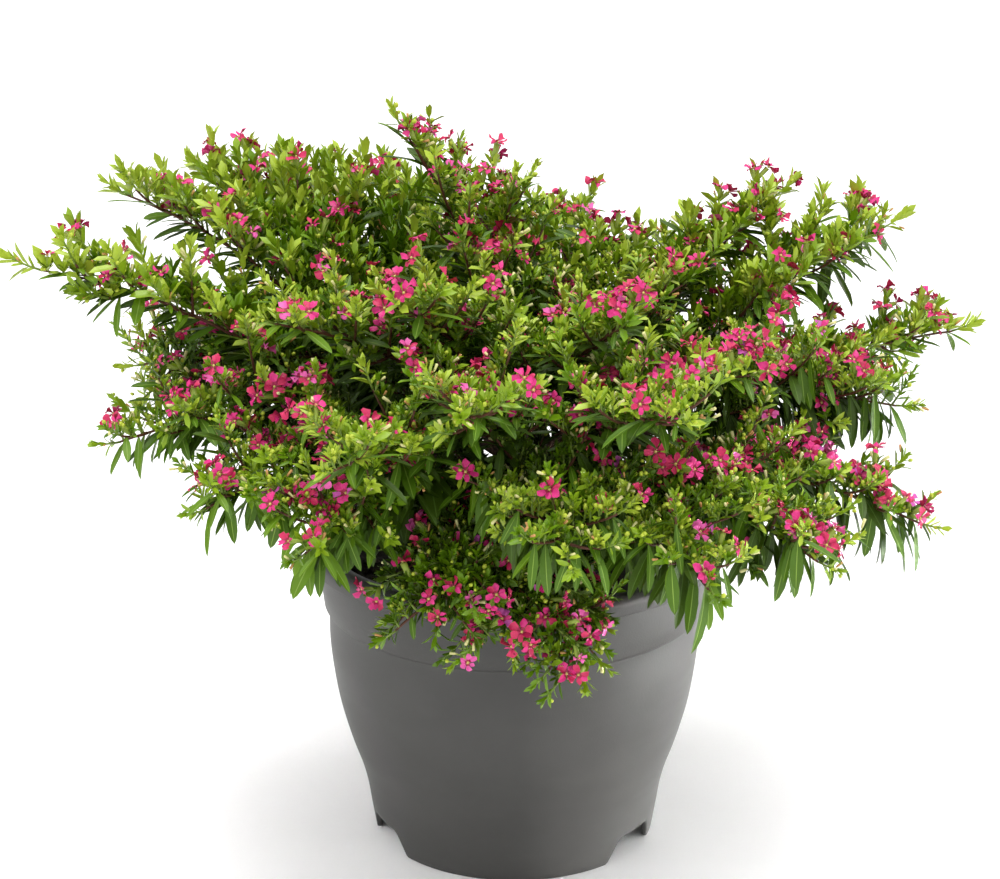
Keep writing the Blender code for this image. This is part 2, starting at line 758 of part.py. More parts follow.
def main():
    clear_scene()
    plant = new_collection("potted_cuphea")
    cutters = new_collection("cutters", hidden=True)
    grey_plastic = principled("grey_plastic", (0.105, 0.105, 0.100), 0.45)
    peat = principled("peat_mix", (0.030, 0.020, 0.014), 0.95)
    bark = principled("bark", (0.090, 0.055, 0.035), 0.80)
    foliage = principled("foliage", (0.120, 0.260, 0.030), 0.50)

    make_pot(plant, cutters, grey_plastic)
    make_mix(plant, peat)
    make_trunk(plant, bark)

    shoots = make_shoots()
    stems = {shoot.name: points_of(shoot.stem) for shoot in shoots}
    limbs = [points_of(shoot.bough) for shoot in shoots if shoot.bough]
    blade, star = leaf_mesh(), flower_mesh()
    for shoot in shoots:
        if shoot.bough:
            smooth(tube(shoot.name + "_bough", shoot.bough, BOUGH_SIDES, plant, bark), 80.0)
        MassBuilder(shoot, Room(shoot, stems, limbs), blade, star).build(plant, foliage)


main()
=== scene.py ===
"""A potted cuphea in flower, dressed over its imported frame: pot, peat, woody stem, boughs, leaves.

Lengths are in metres, +Z is up, -Y is the front and the origin is on the ground under the pot.
The sections follow the plant as it is put together: the studio, the pot, the potting mix, the
woody stem and its boughs, the finer shoots, and then what the shoots carry.
"""

import math
import random
from collections import namedtuple

import bpy
import numpy as np
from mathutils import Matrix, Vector


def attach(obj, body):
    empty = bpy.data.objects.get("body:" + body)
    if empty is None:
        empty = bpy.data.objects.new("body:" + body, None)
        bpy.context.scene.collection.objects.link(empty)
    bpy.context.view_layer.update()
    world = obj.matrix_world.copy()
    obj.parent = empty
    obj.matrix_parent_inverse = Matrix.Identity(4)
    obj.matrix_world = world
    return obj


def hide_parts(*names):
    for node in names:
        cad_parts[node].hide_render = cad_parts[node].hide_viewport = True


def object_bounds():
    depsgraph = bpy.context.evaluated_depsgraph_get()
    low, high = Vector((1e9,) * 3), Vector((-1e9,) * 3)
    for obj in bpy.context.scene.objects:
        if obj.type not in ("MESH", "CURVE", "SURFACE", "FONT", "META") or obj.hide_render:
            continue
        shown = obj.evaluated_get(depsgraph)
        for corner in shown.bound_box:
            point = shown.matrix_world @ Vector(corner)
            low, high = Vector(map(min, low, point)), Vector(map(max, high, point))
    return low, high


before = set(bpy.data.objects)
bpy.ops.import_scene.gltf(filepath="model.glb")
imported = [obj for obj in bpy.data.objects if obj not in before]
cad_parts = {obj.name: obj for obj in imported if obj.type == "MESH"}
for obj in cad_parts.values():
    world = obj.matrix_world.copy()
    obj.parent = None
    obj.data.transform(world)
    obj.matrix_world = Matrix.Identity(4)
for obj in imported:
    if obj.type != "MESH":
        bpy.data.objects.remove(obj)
cad_box = [list(corner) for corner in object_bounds()]


# The studio: a plain pale floor without a visible edge, lit by soft boxes. The brightest stands to
# the right and a little behind, so the crown glows from above and the pot's right side is palest.
# The camera is a little over a metre in front, looking down on the plant at eighteen degrees.

EYE = (0.0, -1.114, 0.559)
LOOK_DOWN = math.radians(18.39)
LOOK_RIGHT = math.radians(-0.34)
FILM_WIDTH = 36.0
LENS = 93.312
FLOOR_REACH = 9.0
SKY_STRENGTH = 0.92
SOFT_BOXES = (
    # name, place, point it faces, side of the square, watts, degrees that its grid lets through
    ("overhead", (0.1, -0.5, 6.0), (0.0, 0.0, 0.2), 4.0, 300.0, 180.0),
    ("key_right", (2.3, 0.2, 1.3), (0.0, 0.0, 0.16), 1.3, 10.0, 180.0),
    ("pot_right", (2.1, 0.05, 0.12), (0.0, 0.0, 0.030), 0.25, 0.62, 8.0),
    ("fill_left", (-1.6, -2.0, 1.5), (0.0, 0.0, 0.18), 1.4, 8.0, 180.0),
    ("paper_left", (-1.7, -0.3, 0.62), (-0.30, -0.03, 0.0), 0.20, 0.10, 10.0),
)


def linear(code):
    """A colour written as sRGB hex, turned to the linear light that shaders use."""
    channels = np.array([int(code[i:i + 2], 16) for i in (1, 3, 5)]) / 255.0
    light = np.where(channels <= 0.04045, channels / 12.92, ((channels + 0.055) / 1.055) ** 2.4)
    return (*light.tolist(), 1.0)


def new_material(name, colour, roughness, ior=1.45):
    """A named finish: its colour, roughness and IOR are set on the shader's own sockets."""
    material = bpy.data.materials.new(name)
    material.use_nodes = True
    shader = material.node_tree.nodes["Principled BSDF"]
    shader.inputs["Base Color"].default_value = linear(colour)
    shader.inputs["Roughness"].default_value = roughness
    shader.inputs["IOR"].default_value = ior
    material.diffuse_color = linear(colour)
    return material


def add_node(material, kind, links=(), **settings):
    """Adds one node. A setting with the name of one of the node's properties sets it, i6 fills the
    input of number 6, and any other fills the input of its name. links holds (output, input)
    pairs, where an output is a (node, name) pair."""
    node = material.node_tree.nodes.new(kind)
    for key, value in settings.items():
        if key in node.bl_rna.properties:
            setattr(node, key, value)
        else:
            socket = int(key[1:]) if key[1:].isdigit() else key.replace("_", " ")
            node.inputs[socket].default_value = value
    for (source, output), target in links:
        material.node_tree.links.new(source.outputs[output], node.inputs[target])
    return node


def feed(material, node, output, socket):
    """Links a node's output to a socket of the material's shader."""
    shader = material.node_tree.nodes["Principled BSDF"]
    material.node_tree.links.new(node.outputs[output], shader.inputs[socket])


def look_along(obj, place, way):
    """Stands a camera or lamp at a place, facing along a direction."""
    obj.location = place
    obj.rotation_euler = Vector(way).to_track_quat("-Z", "Y").to_euler()


camera = bpy.data.objects.new("camera", bpy.data.cameras.new("camera"))
camera.data.sensor_width = FILM_WIDTH
camera.data.lens = LENS
level = math.cos(LOOK_DOWN)
look_along(camera, EYE, (math.sin(LOOK_RIGHT) * level, math.cos(LOOK_RIGHT) * level,
                         -math.sin(LOOK_DOWN)))
bpy.context.scene.collection.objects.link(camera)
bpy.context.scene.camera = camera
bpy.context.scene.view_settings.view_transform = "Standard"

for name, place, target, side, watts, grid in SOFT_BOXES:
    lamp = bpy.data.objects.new(name, bpy.data.lights.new(name, "AREA"))
    lamp.data.shape = "SQUARE"
    lamp.data.size = side
    lamp.data.energy = watts
    lamp.data.spread = math.radians(grid)
    look_along(lamp, place, np.subtract(target, place))
    bpy.context.scene.collection.objects.link(lamp)

world = bpy.context.scene.world or bpy.data.worlds.new("studio")
bpy.context.scene.world = world
world.use_nodes = True
world.node_tree.nodes["Background"].inputs["Color"].default_value = (1.0, 1.0, 1.0, 1.0)
world.node_tree.nodes["Background"].inputs["Strength"].default_value = SKY_STRENGTH

# Seamless matt paper, rolled out flat; a faint fibre keeps it from being a dead flat tone
paper = new_material("studio_paper", "#fbfbfa", 0.9)
fibre = add_node(paper, "ShaderNodeTexNoise", Scale=40.0, Detail=2.0)
tint = add_node(paper, "ShaderNodeMix", [((fibre, "Fac"), 0)], data_type="RGBA",
                i6=linear("#f9f9f8"), i7=linear("#fdfdfd"))
feed(paper, tint, 2, "Base Color")
floor_mesh = bpy.data.meshes.new("floor")
floor_corners = FLOOR_REACH * np.array(((-1, -1, 0), (1, -1, 0), (1, 1, 0), (-1, 1, 0)))
floor_mesh.from_pydata(floor_corners.tolist(), [], [(0, 1, 2, 3)])
floor_mesh.materials.append(paper)
floor = bpy.data.objects.new("floor", floor_mesh)
bpy.context.scene.collection.objects.link(floor)


# The pot: one moulding in matt dark grey plastic, thin-walled, with a rolled lip, a shoulder that
# the lip hangs over, a faint step under it, and a body that narrows to three feet. Three notches
# between the feet let water out. The floor is raised, so its underside stays dark.

POT_COLUMNS = 360
WALL_ROWS = 36
WALL = 0.0022
POT_WALL = (
    # height, outer radius
    (0.0000, 0.0652), (0.0120, 0.0672), (0.0250, 0.0693), (0.0350, 0.0719), (0.0450, 0.0754),
    (0.0550, 0.0784), (0.0650, 0.0810), (0.0800, 0.0836), (0.0950, 0.0852), (0.1080, 0.0853),
)
POT_STEP = ((0.1105, 0.0853), (0.1112, 0.0854), (0.1122, 0.0870), (0.1132, 0.0876))
POT_SHOULDER = ((0.1200, 0.0884), (0.1300, 0.0888), (0.1345, 0.0886), (0.1356, 0.0887))
POT_LIP = (
    (0.1358, 0.0892), (0.1357, 0.0942), (0.1361, 0.0949), (0.1368, 0.0950), (0.1395, 0.0950),
    (0.1415, 0.0947), (0.1430, 0.0938), (0.1440, 0.0920), (0.1443, 0.0902), (0.1443, 0.0876),
    (0.1437, 0.0866), (0.1425, 0.0864),
)
LIP_RADIUS = 0.0950
LIP_TOP = 0.1443
INNER_HEIGHTS = (0.1355, 0.1120, 0.1050, 0.0800, 0.0600, 0.0400, 0.0260, 0.0170, 0.0163)
INNER_CORNER = 0.0012
FLOOR_UNDERSIDE = 0.0140
UNDERSIDE_RADIUS = 0.0620
UNDERSIDE_CORNER = 0.0014
UNDERSIDE_BEVEL = 0.0006
NOTCH_AZIMUTHS = np.radians((-34.0, 86.0, -154.0))
NOTCH_HEIGHT = 0.0115
NOTCH_TOP_WIDTH = 0.0230
NOTCH_FOOT_WIDTH = 0.0350
NOTCH_CORNER = 0.0030
# The rows of the wall follow the notches' edge at the foot and are level again at this height
SKIRT_TOP = 0.0300
FOOT_EASE = 0.0005


def smooth_profile(stations, count):
    """Heights and radii spread evenly between the stations, on a cubic that takes at each station
    the slope between its neighbours: h00 a + h10 step slope + h01 b + h11 step slope."""
    height, radius = np.array(stations).T
    slope = np.gradient(radius, height)
    z = np.linspace(height[0], height[-1], count)
    i = np.clip(np.searchsorted(height, z, "right") - 1, 0, len(height) - 2)
    step = height[i + 1] - height[i]
    t = (z - height[i]) / step
    blend = ((1 + 2 * t) * (1 - t) ** 2, t * (1 - t) ** 2, t * t * (3 - 2 * t), t * t * (t - 1))
    r = blend[0] * radius[i] + blend[1] * step * slope[i]
    return z, r + blend[2] * radius[i + 1] + blend[3] * step * slope[i + 1]


def notch_edge(azimuth):
    """The height of the skirt's edge at each azimuth: 0 on the feet, and in a notch the least of
    its sloping sides and its flat top, with the corner between them rounded off."""
    edge = np.zeros_like(azimuth)
    for centre in NOTCH_AZIMUTHS:
        off = np.abs((azimuth - centre + math.pi) % math.tau - math.pi) * POT_WALL[0][1]
        slope = 2 * NOTCH_HEIGHT / (NOTCH_FOOT_WIDTH - NOTCH_TOP_WIDTH)
        side = (NOTCH_FOOT_WIDTH / 2 - off) * slope
        rounded = NOTCH_CORNER / 2 * np.logaddexp(0.0, (NOTCH_HEIGHT - side) / NOTCH_CORNER * 2)
        edge = np.maximum(edge, np.clip(NOTCH_HEIGHT - rounded, 0.0, None) * (side > 0))
    return edge


def closed_faces(rows, columns):
    """The faces of a closed surface whose grid of rows by columns runs right round, with one more
    vertex at each end as a pole: (vertex numbers face after face, corners of each face)."""
    i, j = np.meshgrid(np.arange(rows - 1), np.arange(columns), indexing="ij")
    k = (j + 1) % columns
    quads = np.stack((i * columns + j, i * columns + k, (i + 1) * columns + k,
                      (i + 1) * columns + j), -1).reshape(-1)
    j = np.arange(columns)
    k = (j + 1) % columns
    first, last = rows * columns, rows * columns + 1
    start = np.stack((np.full(columns, first), k, j), -1).reshape(-1)
    base = (rows - 1) * columns
    end = np.stack((np.full(columns, last), base + j, base + k), -1).reshape(-1)
    sizes = np.concatenate((np.full((rows - 1) * columns, 4), np.full(2 * columns, 3)))
    return np.concatenate((quads, start, end)), sizes


def put_mesh(name, materials, points, corners, sizes, tones=None):
    """A smooth piece at the origin, from its points, its faces' vertex numbers one face after
    another and the corners of each face. tones is the number of each face's finish."""
    mesh = bpy.data.meshes.new(name)
    mesh.vertices.add(len(points))
    mesh.vertices.foreach_set("co", np.ascontiguousarray(points, np.float32).ravel())
    mesh.loops.add(len(corners))
    mesh.loops.foreach_set("vertex_index", corners.astype(np.int32))
    mesh.polygons.add(len(sizes))
    starts = np.concatenate(([0], np.cumsum(sizes)[:-1])).astype(np.int32)
    mesh.polygons.foreach_set("loop_start", starts)
    if tones is not None:
        mesh.polygons.foreach_set("material_index", tones.astype(np.int32))
    for material in materials:
        mesh.materials.append(material)
    mesh.update(calc_edges=True)
    mesh.shade_smooth()
    piece = bpy.data.objects.new(name, mesh)
    bpy.context.scene.collection.objects.link(piece)
    return piece


wall_z, wall_r = smooth_profile(POT_WALL, WALL_ROWS)
step_z, step_r = np.array(POT_STEP + POT_SHOULDER).T
lip_z, lip_r = np.array(POT_LIP).T
azimuth = np.arange(POT_COLUMNS) * math.tau / POT_COLUMNS
edge = notch_edge(azimuth)
inner_z = np.array(INNER_HEIGHTS)
inner_r = np.interp(inner_z, *np.array(POT_WALL + POT_SHOULDER).T) - WALL
inner_r[-1] -= INNER_CORNER
outer_z = np.concatenate((wall_z, step_z, lip_z, inner_z))
outer_r = np.concatenate((wall_r, step_r, lip_r, inner_r))
rows_z = np.repeat(outer_z[:, None], POT_COLUMNS, 1)
rows_r = np.repeat(outer_r[:, None], POT_COLUMNS, 1)
skirt = wall_z < SKIRT_TOP
share = wall_z[skirt][:, None] / SKIRT_TOP
rows_z[:len(wall_z)][skirt] = (edge + FOOT_EASE) * (1 - share) + SKIRT_TOP * share
rows_r[:len(wall_z)][skirt] = np.interp(rows_z[:len(wall_z)][skirt], wall_z, wall_r)
foot_r = np.interp(edge, wall_z, wall_r)
under_z = np.stack((np.full(POT_COLUMNS, FLOOR_UNDERSIDE),
                    np.full(POT_COLUMNS, FLOOR_UNDERSIDE - UNDERSIDE_BEVEL),
                    np.minimum(edge + UNDERSIDE_BEVEL, FLOOR_UNDERSIDE - 0.0008), edge, edge))
under_r = np.stack((np.full(POT_COLUMNS, UNDERSIDE_RADIUS),
                    np.full(POT_COLUMNS, UNDERSIDE_RADIUS + UNDERSIDE_CORNER),
                    foot_r - WALL, foot_r - WALL + 0.0004, foot_r - FOOT_EASE))
rows_z = np.concatenate((under_z, rows_z))
rows_r = np.concatenate((under_r, rows_r))
points = np.stack((rows_r * np.cos(azimuth), rows_r * np.sin(azimuth), rows_z), -1).reshape(-1, 3)
points = np.concatenate((points, [(0.0, 0.0, FLOOR_UNDERSIDE), (0.0, 0.0, FLOOR_UNDERSIDE + WALL)]))
corners, sizes = closed_faces(len(rows_z), POT_COLUMNS)

# Moulded polypropylene, spark-textured by its mould to a soft satin: a broad sheen, a fine stipple,
# a cloudy bloom and faint level rubs where pots were stacked in one another
moulded = new_material("moulded_polypropylene", "#383735", 0.50, 1.49)
place = add_node(moulded, "ShaderNodeTexCoord")
haze = add_node(moulded, "ShaderNodeTexNoise", [((place, "Object"), "Vector")], Scale=22.0,
                Detail=4.0, Roughness=0.6)
squash = add_node(moulded, "ShaderNodeMapping", [((place, "Object"), "Vector")])
squash.inputs["Scale"].default_value = (14.0, 14.0, 60.0)
rubs = add_node(moulded, "ShaderNodeTexNoise", [((squash, "Vector"), "Vector")], Scale=1.0,
                Detail=3.0, Roughness=0.55)
stipple = add_node(moulded, "ShaderNodeTexNoise", [((place, "Object"), "Vector")], Scale=1400.0,
                   Detail=1.0)
clouded = add_node(moulded, "ShaderNodeMapRange", [((haze, "Fac"), "Value")], i1=0.30, i2=0.72,
                   i3=0.0, i4=1.0)
rubbed = add_node(moulded, "ShaderNodeMapRange", [((rubs, "Fac"), "Value")], i1=0.52, i2=0.75,
                  i3=0.0, i4=0.35)
tone = add_node(moulded, "ShaderNodeMix", [((clouded, "Result"), 0)], data_type="RGBA",
                i6=linear("#343331"), i7=linear("#3c3b39"))
dusty = add_node(moulded, "ShaderNodeMix", [((rubbed, "Result"), 0), ((tone, 2), 6)],
                 data_type="RGBA", i7=linear("#444340"))
feed(moulded, dusty, 2, "Base Color")
sheen = add_node(moulded, "ShaderNodeMapRange", [((rubs, "Fac"), "Value")], i1=0.3, i2=0.7,
                 i3=0.46, i4=0.54)
feed(moulded, sheen, "Result", "Roughness")
grain = add_node(moulded, "ShaderNodeBump", [((stipple, "Fac"), "Height")], Strength=0.25,
                 Distance=0.0002)
feed(moulded, grain, "Normal", "Normal")

pot = put_mesh("nursery_pot", [moulded], points, corners, sizes)
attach(pot, "root")
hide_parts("pot")


# The potting mix: damp peat, nearly black, lightly firmed and a little higher at the stem, with
# crumbs and bits of bark lying loose on it. It fills the pot up to a finger's width under the lip.

MIX_TOP = 0.1300
MIX_CROWN = 0.0020
MIX_CROWN_WIDTH = 0.030
MIX_GAP = 0.0003
MIX_ROWS = 56
MIX_COLUMNS = 160
MIX_SINK = 0.0008
MIX_SIDE_HEIGHTS = (0.0168, 0.0400, 0.0700, 0.1000, 0.1200)
MIX_CORNER = 0.0020
MIX_LUMPS = (
    # depth, size of a lump, seed
    (0.0010, 0.0090, 3), (0.0007, 0.0035, 4), (0.0004, 0.0016, 5),
)
CRUMBS = 700
CRUMB_SINK = 0.0006
CRUMB_MARGIN = 0.0030
BALL_COLUMNS = 6
BALL_ANGLES = (0.8, 1.6, 2.4)
mix_draw = np.random.default_rng(11)


def lumps(x, y, size, seed):
    """Value noise of about -1 to 1: corner values dealt by a seed on squares of a size, blended
    with the ease 3t^2 - 2t^3 between the four corners round each point."""
    values = np.random.default_rng(seed).uniform(-1.0, 1.0, (64, 64))
    u, v = x / size + 32.0, y / size + 32.0
    i, j = np.floor(u).astype(int) % 63, np.floor(v).astype(int) % 63
    s, t = u - np.floor(u), v - np.floor(v)
    s, t = s * s * (3 - 2 * s), t * t * (3 - 2 * t)
    lower = values[i, j] * (1 - s) + values[i + 1, j] * s
    upper = values[i, j + 1] * (1 - s) + values[i + 1, j + 1] * s
    return lower * (1 - t) + upper * t


def mix_height(ring):
    """The mix's height over its edge: a low mound round the stem, by e to minus the square."""
    return MIX_CROWN * np.exp(-(ring / MIX_CROWN_WIDTH) ** 2)


mix_edge = float(np.interp(MIX_TOP, *np.array(POT_WALL + POT_SHOULDER).T)) - WALL - MIX_GAP
ring = mix_edge * np.linspace(0.012, 1.0, MIX_ROWS)[::-1]
turn = np.arange(MIX_COLUMNS) * math.tau / MIX_COLUMNS
x, y = ring[:, None] * np.cos(turn), ring[:, None] * np.sin(turn)
relief = sum(depth * lumps(x, y, size, seed) for depth, size, seed in MIX_LUMPS)
z = MIX_TOP - MIX_SINK + mix_height(ring[:, None]) + relief
low_z = np.array(MIX_SIDE_HEIGHTS)
low_r = np.interp(low_z, *np.array(POT_WALL + POT_SHOULDER).T) - WALL - MIX_GAP
low_r[0] -= MIX_CORNER
sides = np.stack((low_r[:, None] * np.cos(turn), low_r[:, None] * np.sin(turn),
                  np.repeat(low_z[:, None], MIX_COLUMNS, 1)), -1)
points = np.concatenate((sides, np.stack((x, y, z), -1))).reshape(-1, 3)
points = np.concatenate((points, [(0.0, 0.0, low_z[0]), (0.0, 0.0, MIX_TOP + MIX_CROWN)]))

mix_parts = [(points, *closed_faces(len(sides) + MIX_ROWS, MIX_COLUMNS), 0)]

# Each crumb is a ball of six columns and three rows, pressed out of round
ball_turn = np.arange(BALL_COLUMNS) * math.tau / BALL_COLUMNS
ball = [(math.sin(a) * np.cos(ball_turn), math.sin(a) * np.sin(ball_turn),
         np.full(BALL_COLUMNS, -math.cos(a))) for a in BALL_ANGLES]
ball = np.concatenate([np.stack(part, -1) for part in ball] + [[(0, 0, -1.0)], [(0, 0, 1.0)]])
crumb_size = mix_draw.uniform(0.0006, 0.0017, (CRUMBS, 1, 1))
crumb_size = crumb_size * mix_draw.uniform(0.6, 1.5, (CRUMBS, 1, 3))
crumb_ring = np.sqrt(mix_draw.uniform(0.015, 1.0, CRUMBS)) * (mix_edge - CRUMB_MARGIN)
crumb_turn = mix_draw.uniform(0.0, math.tau, CRUMBS)
crumb_x, crumb_y = crumb_ring * np.cos(crumb_turn), crumb_ring * np.sin(crumb_turn)
depth, size, seed = MIX_LUMPS[0]
crumb_z = MIX_TOP - CRUMB_SINK + mix_height(crumb_ring)
crumb_z = crumb_z + depth * lumps(crumb_x, crumb_y, size, seed)
lumpy = ball * mix_draw.uniform(0.75, 1.2, (CRUMBS, len(ball), 1))
crumbs = lumpy * crumb_size + np.stack((crumb_x, crumb_y, crumb_z), -1)[:, None]
ball_faces = closed_faces(len(BALL_ANGLES), BALL_COLUMNS)


def copies(points, faces):
    """A repeated shape as (points, vertex numbers, corners of each face): points is (copies,
    points of one, 3), and faces is one copy's, moved on in each copy by the points before it."""
    corners, sizes = faces
    moved = corners[None] + (np.arange(len(points)) * points.shape[1])[:, None]
    return points.reshape(-1, 3), moved.reshape(-1), np.tile(sizes, len(points))


def join(parts):
    """Several meshes as one. A part is (points, vertex numbers, corners of each face, tone), with
    its tone one number or one a face, and is moved on by the points before it."""
    points, corners, sizes, tones = zip(*parts)
    starts = np.cumsum([0] + [len(some) for some in points[:-1]])
    corners = [numbers + start for numbers, start in zip(corners, starts)]
    tones = [np.full(len(counts), tone) for counts, tone in zip(sizes, tones)]
    return tuple(np.concatenate(arrays) for arrays in (points, corners, sizes, tones))


def grained(material, scale, strength, distance):
    """Gives a material a fine noise as bump, and returns the noise."""
    place = add_node(material, "ShaderNodeTexCoord")
    noise = add_node(material, "ShaderNodeTexNoise", [((place, "Object"), "Vector")], Scale=scale,
                     Detail=2.0)
    bump = add_node(material, "ShaderNodeBump", [((noise, "Fac"), "Height")], Strength=strength,
                    Distance=distance)
    feed(material, bump, "Normal", "Normal")
    return noise


crumb_tones = mix_draw.choice((0, 1, 2), CRUMBS, p=(0.60, 0.30, 0.10))
mix_parts.append((*copies(crumbs, ball_faces), np.repeat(crumb_tones, len(ball_faces[1]))))

# Damp peat: dark, matt, and broken up by its fibres; the bark bits are browner and the grit is pale
peat = new_material("damp_peat", "#1e1813", 0.92)
place = add_node(peat, "ShaderNodeTexCoord")
fibres = add_node(peat, "ShaderNodeTexNoise", [((place, "Object"), "Vector")], Scale=420.0,
                  Detail=3.0, Roughness=0.7)
mottle = add_node(peat, "ShaderNodeMix", [((fibres, "Fac"), 0)], data_type="RGBA",
                  i6=linear("#120e0b"), i7=linear("#33281f"))
feed(peat, mottle, 2, "Base Color")
rough = add_node(peat, "ShaderNodeBump", [((fibres, "Fac"), "Height")], Strength=0.8,
                 Distance=0.0008)
feed(peat, rough, "Normal", "Normal")
bark_bits = new_material("composted_bark", "#3b2a1e", 0.85)
grit = new_material("horticultural_grit", "#6e655a", 0.80)
for material in (bark_bits, grit):
    grained(material, 900.0, 0.6, 0.0004)

mix = put_mesh("potting_mix_surface", [peat, bark_bits, grit], *join(mix_parts))
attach(mix, "root")
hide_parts("potting_mix")


# The woody stem and its boughs: one short stem with a flared foot, brown and finely fissured, and
# limbs that leave it at their own buds and arch outwards. A shoot's line runs from its bud to its
# tip: its first part is the bare bough, and the rest is the leafy stem that the twigs stand on.

TRUNK_FOOT = MIX_TOP + MIX_CROWN + MIX_GAP
TRUNK_TOP = 0.2040
TRUNK_FLARE_RADIUS = 0.0090
TRUNK_FLARE_HEIGHT = 0.0070
TRUNK_RADIUS = 0.0062
TRUNK_TOP_RADIUS = 0.0035
TRUNK_LEAN = 0.0030
TRUNK_SINK = 0.0012
TRUNK_ROWS = 90
TRUNK_SIDES = 28
BUD_SPACING = 0.0047
LOWEST_BUD = TRUNK_FOOT + 0.0090
BUD_STEP = 0.0008
SAME_SIDE = math.radians(75.0)
STEEPEST = math.radians(78.0)
TIP_LEAF = 0.0160
LINE_POINTS = 25
LEAVING_PULL = 0.42
ARRIVING_PULL = 0.36
BOUGH_FOOT_RADIUS = 0.0016
BOUGH_TIP_RADIUS = 0.0011
MASS_STEM_TIP_RADIUS = 0.0006
BOUGH_OVERLAP = 0.04
BOUGH_ROWS = 22
BOUGH_SIDES = 10
BOUGH_SINK = 0.0015
# A tier has the kind of its shoots, the degrees that a limb leaves above the straight line to its
# tip and those that it arrives below it, the share of the line where the mass begins, the spread of
# the twigs, the droop of the leaves, the number of twigs of the first order, and its limbs. A limb
# has its name, azimuth in degrees, reach, and height of the tip.
TIERS = (
    ("upper", -4.0, 14.0, 0.42, 0.042, 0.15, 3, (
        ("far_left", -168.0, 0.222, 0.282),
        ("upper_left", 172.0, 0.191, 0.301),
        ("high_left", 153.0, 0.176, 0.298),
        ("ridge_left", 134.0, 0.173, 0.284),
        ("back_left", 110.0, 0.188, 0.262),
        ("back", 83.0, 0.186, 0.254),
        ("back_right", 57.0, 0.187, 0.243),
        ("upper_right", 31.0, 0.157, 0.291),
        ("shoulder_right", 23.0, 0.203, 0.273),
        ("far_right", 15.0, 0.228, 0.225),
        ("front_right", -68.0, 0.187, 0.251),
        ("front", -97.0, 0.176, 0.252),
        ("front_left", -113.0, 0.196, 0.232),
    )),
    ("low", 24.0, 26.0, 0.40, 0.050, 1.00, 4, (
        ("left", -159.0, 0.196, 0.205),
        ("low_left", -141.0, 0.180, 0.188),
        ("low_front_left", -122.0, 0.175, 0.180),
        ("low_front", -82.0, 0.172, 0.184),
        ("low_front_right", -62.0, 0.181, 0.168),
        ("low_right", -41.0, 0.182, 0.166),
        ("right_foot", -18.0, 0.200, 0.164),
        ("right", -5.0, 0.186, 0.207),
    )),
    ("low_back", 34.0, 34.0, 0.0, 0.050, 0.50, 3, (
        ("back_low_right", 46.0, 0.178, 0.186),
        ("back_low", 88.0, 0.182, 0.190),
        ("back_low_left", 142.0, 0.180, 0.192),
        ("left_inner", 179.0, 0.182, 0.218),
    )),
    ("trailing", 62.0, 62.0, 0.0, 0.044, 0.20, 5, (
        ("trailing_right", -76.0, 0.125, 0.112),
        ("trailing_front", -90.0, 0.120, 0.130),
        ("trailing_left", -105.0, 0.128, 0.134),
    )),
    ("inner", 14.0, 14.0, 0.0, 0.044, 0.00, 4, (
        ("top", 175.0, 0.058, 0.343),
        ("top_back", 98.0, 0.080, 0.304),
        ("top_right", 58.0, 0.098, 0.270),
        ("saddle", 14.0, 0.092, 0.264),
        ("inner_left", -142.0, 0.142, 0.270),
        ("inner_front", -118.0, 0.112, 0.281),
        ("inner_front_right", -64.0, 0.112, 0.273),
        ("inner_right", -36.0, 0.138, 0.245),
    )),
)
UP = np.array((0.0, 0.0, 1.0))
Shoot = namedtuple("Shoot", "name kind line leafy_from spread hang twigs arch")


def trunk_centre(height):
    """The stem's axis: it leans to the right by the square of the share of its height."""
    share = (height - TRUNK_FOOT) / (TRUNK_TOP - TRUNK_FOOT)
    return np.array((TRUNK_LEAN * share * share, 0.0, height))


def trunk_radius(height):
    """A straight taper above the flare, and below it a flare that grows with the square."""
    rise = height - TRUNK_FOOT
    flare = max(0.0, 1.0 - rise / TRUNK_FLARE_HEIGHT) ** 2 * (TRUNK_FLARE_RADIUS - TRUNK_RADIUS)
    share = max(0.0, rise - TRUNK_FLARE_HEIGHT) / (TRUNK_TOP - TRUNK_FOOT - TRUNK_FLARE_HEIGHT)
    return TRUNK_RADIUS + flare + share * (TRUNK_TOP_RADIUS - TRUNK_RADIUS)


def bud_height(azimuth, wanted, taken):
    """The wanted height, or a higher one where a bud already taken on that side is too near."""
    height = wanted
    for other, other_height in taken:
        turn = abs(math.remainder(azimuth - other, math.tau))
        if turn < SAME_SIDE:
            chord = 2.0 * trunk_radius(other_height) * math.sin(turn / 2.0)
            height = max(height, other_height + math.sqrt(max(0.0, BUD_SPACING ** 2 - chord ** 2)))
    return height


def shoot_line(place, azimuth, reach, tip_height, above, below):
    """A cubic from the bud to the tip that leaves above the straight line to it and arrives below:
    (1-t)^3 a + 3(1-t)^2 t b + 3(1-t) t^2 c + t^3 d."""
    outward = np.array((math.cos(azimuth), math.sin(azimuth), 0.0))
    tip = outward * reach + UP * tip_height
    straight = math.atan2(tip_height - place[2], np.linalg.norm((tip - place)[:2]))
    span = np.linalg.norm(tip - place)
    leave = min(straight + math.radians(above), STEEPEST)
    arrive = straight - math.radians(below)
    start = outward * math.cos(leave) + UP * math.sin(leave)
    finish = outward * math.cos(arrive) + UP * math.sin(arrive)
    tip = tip - finish * TIP_LEAF
    t = np.linspace(0.0, 1.0, LINE_POINTS)[:, None]
    return ((1 - t) ** 3 * place + 3 * (1 - t) ** 2 * t * (place + start * span * LEAVING_PULL)
            + 3 * (1 - t) * t * t * (tip - finish * span * ARRIVING_PULL) + t ** 3 * tip)


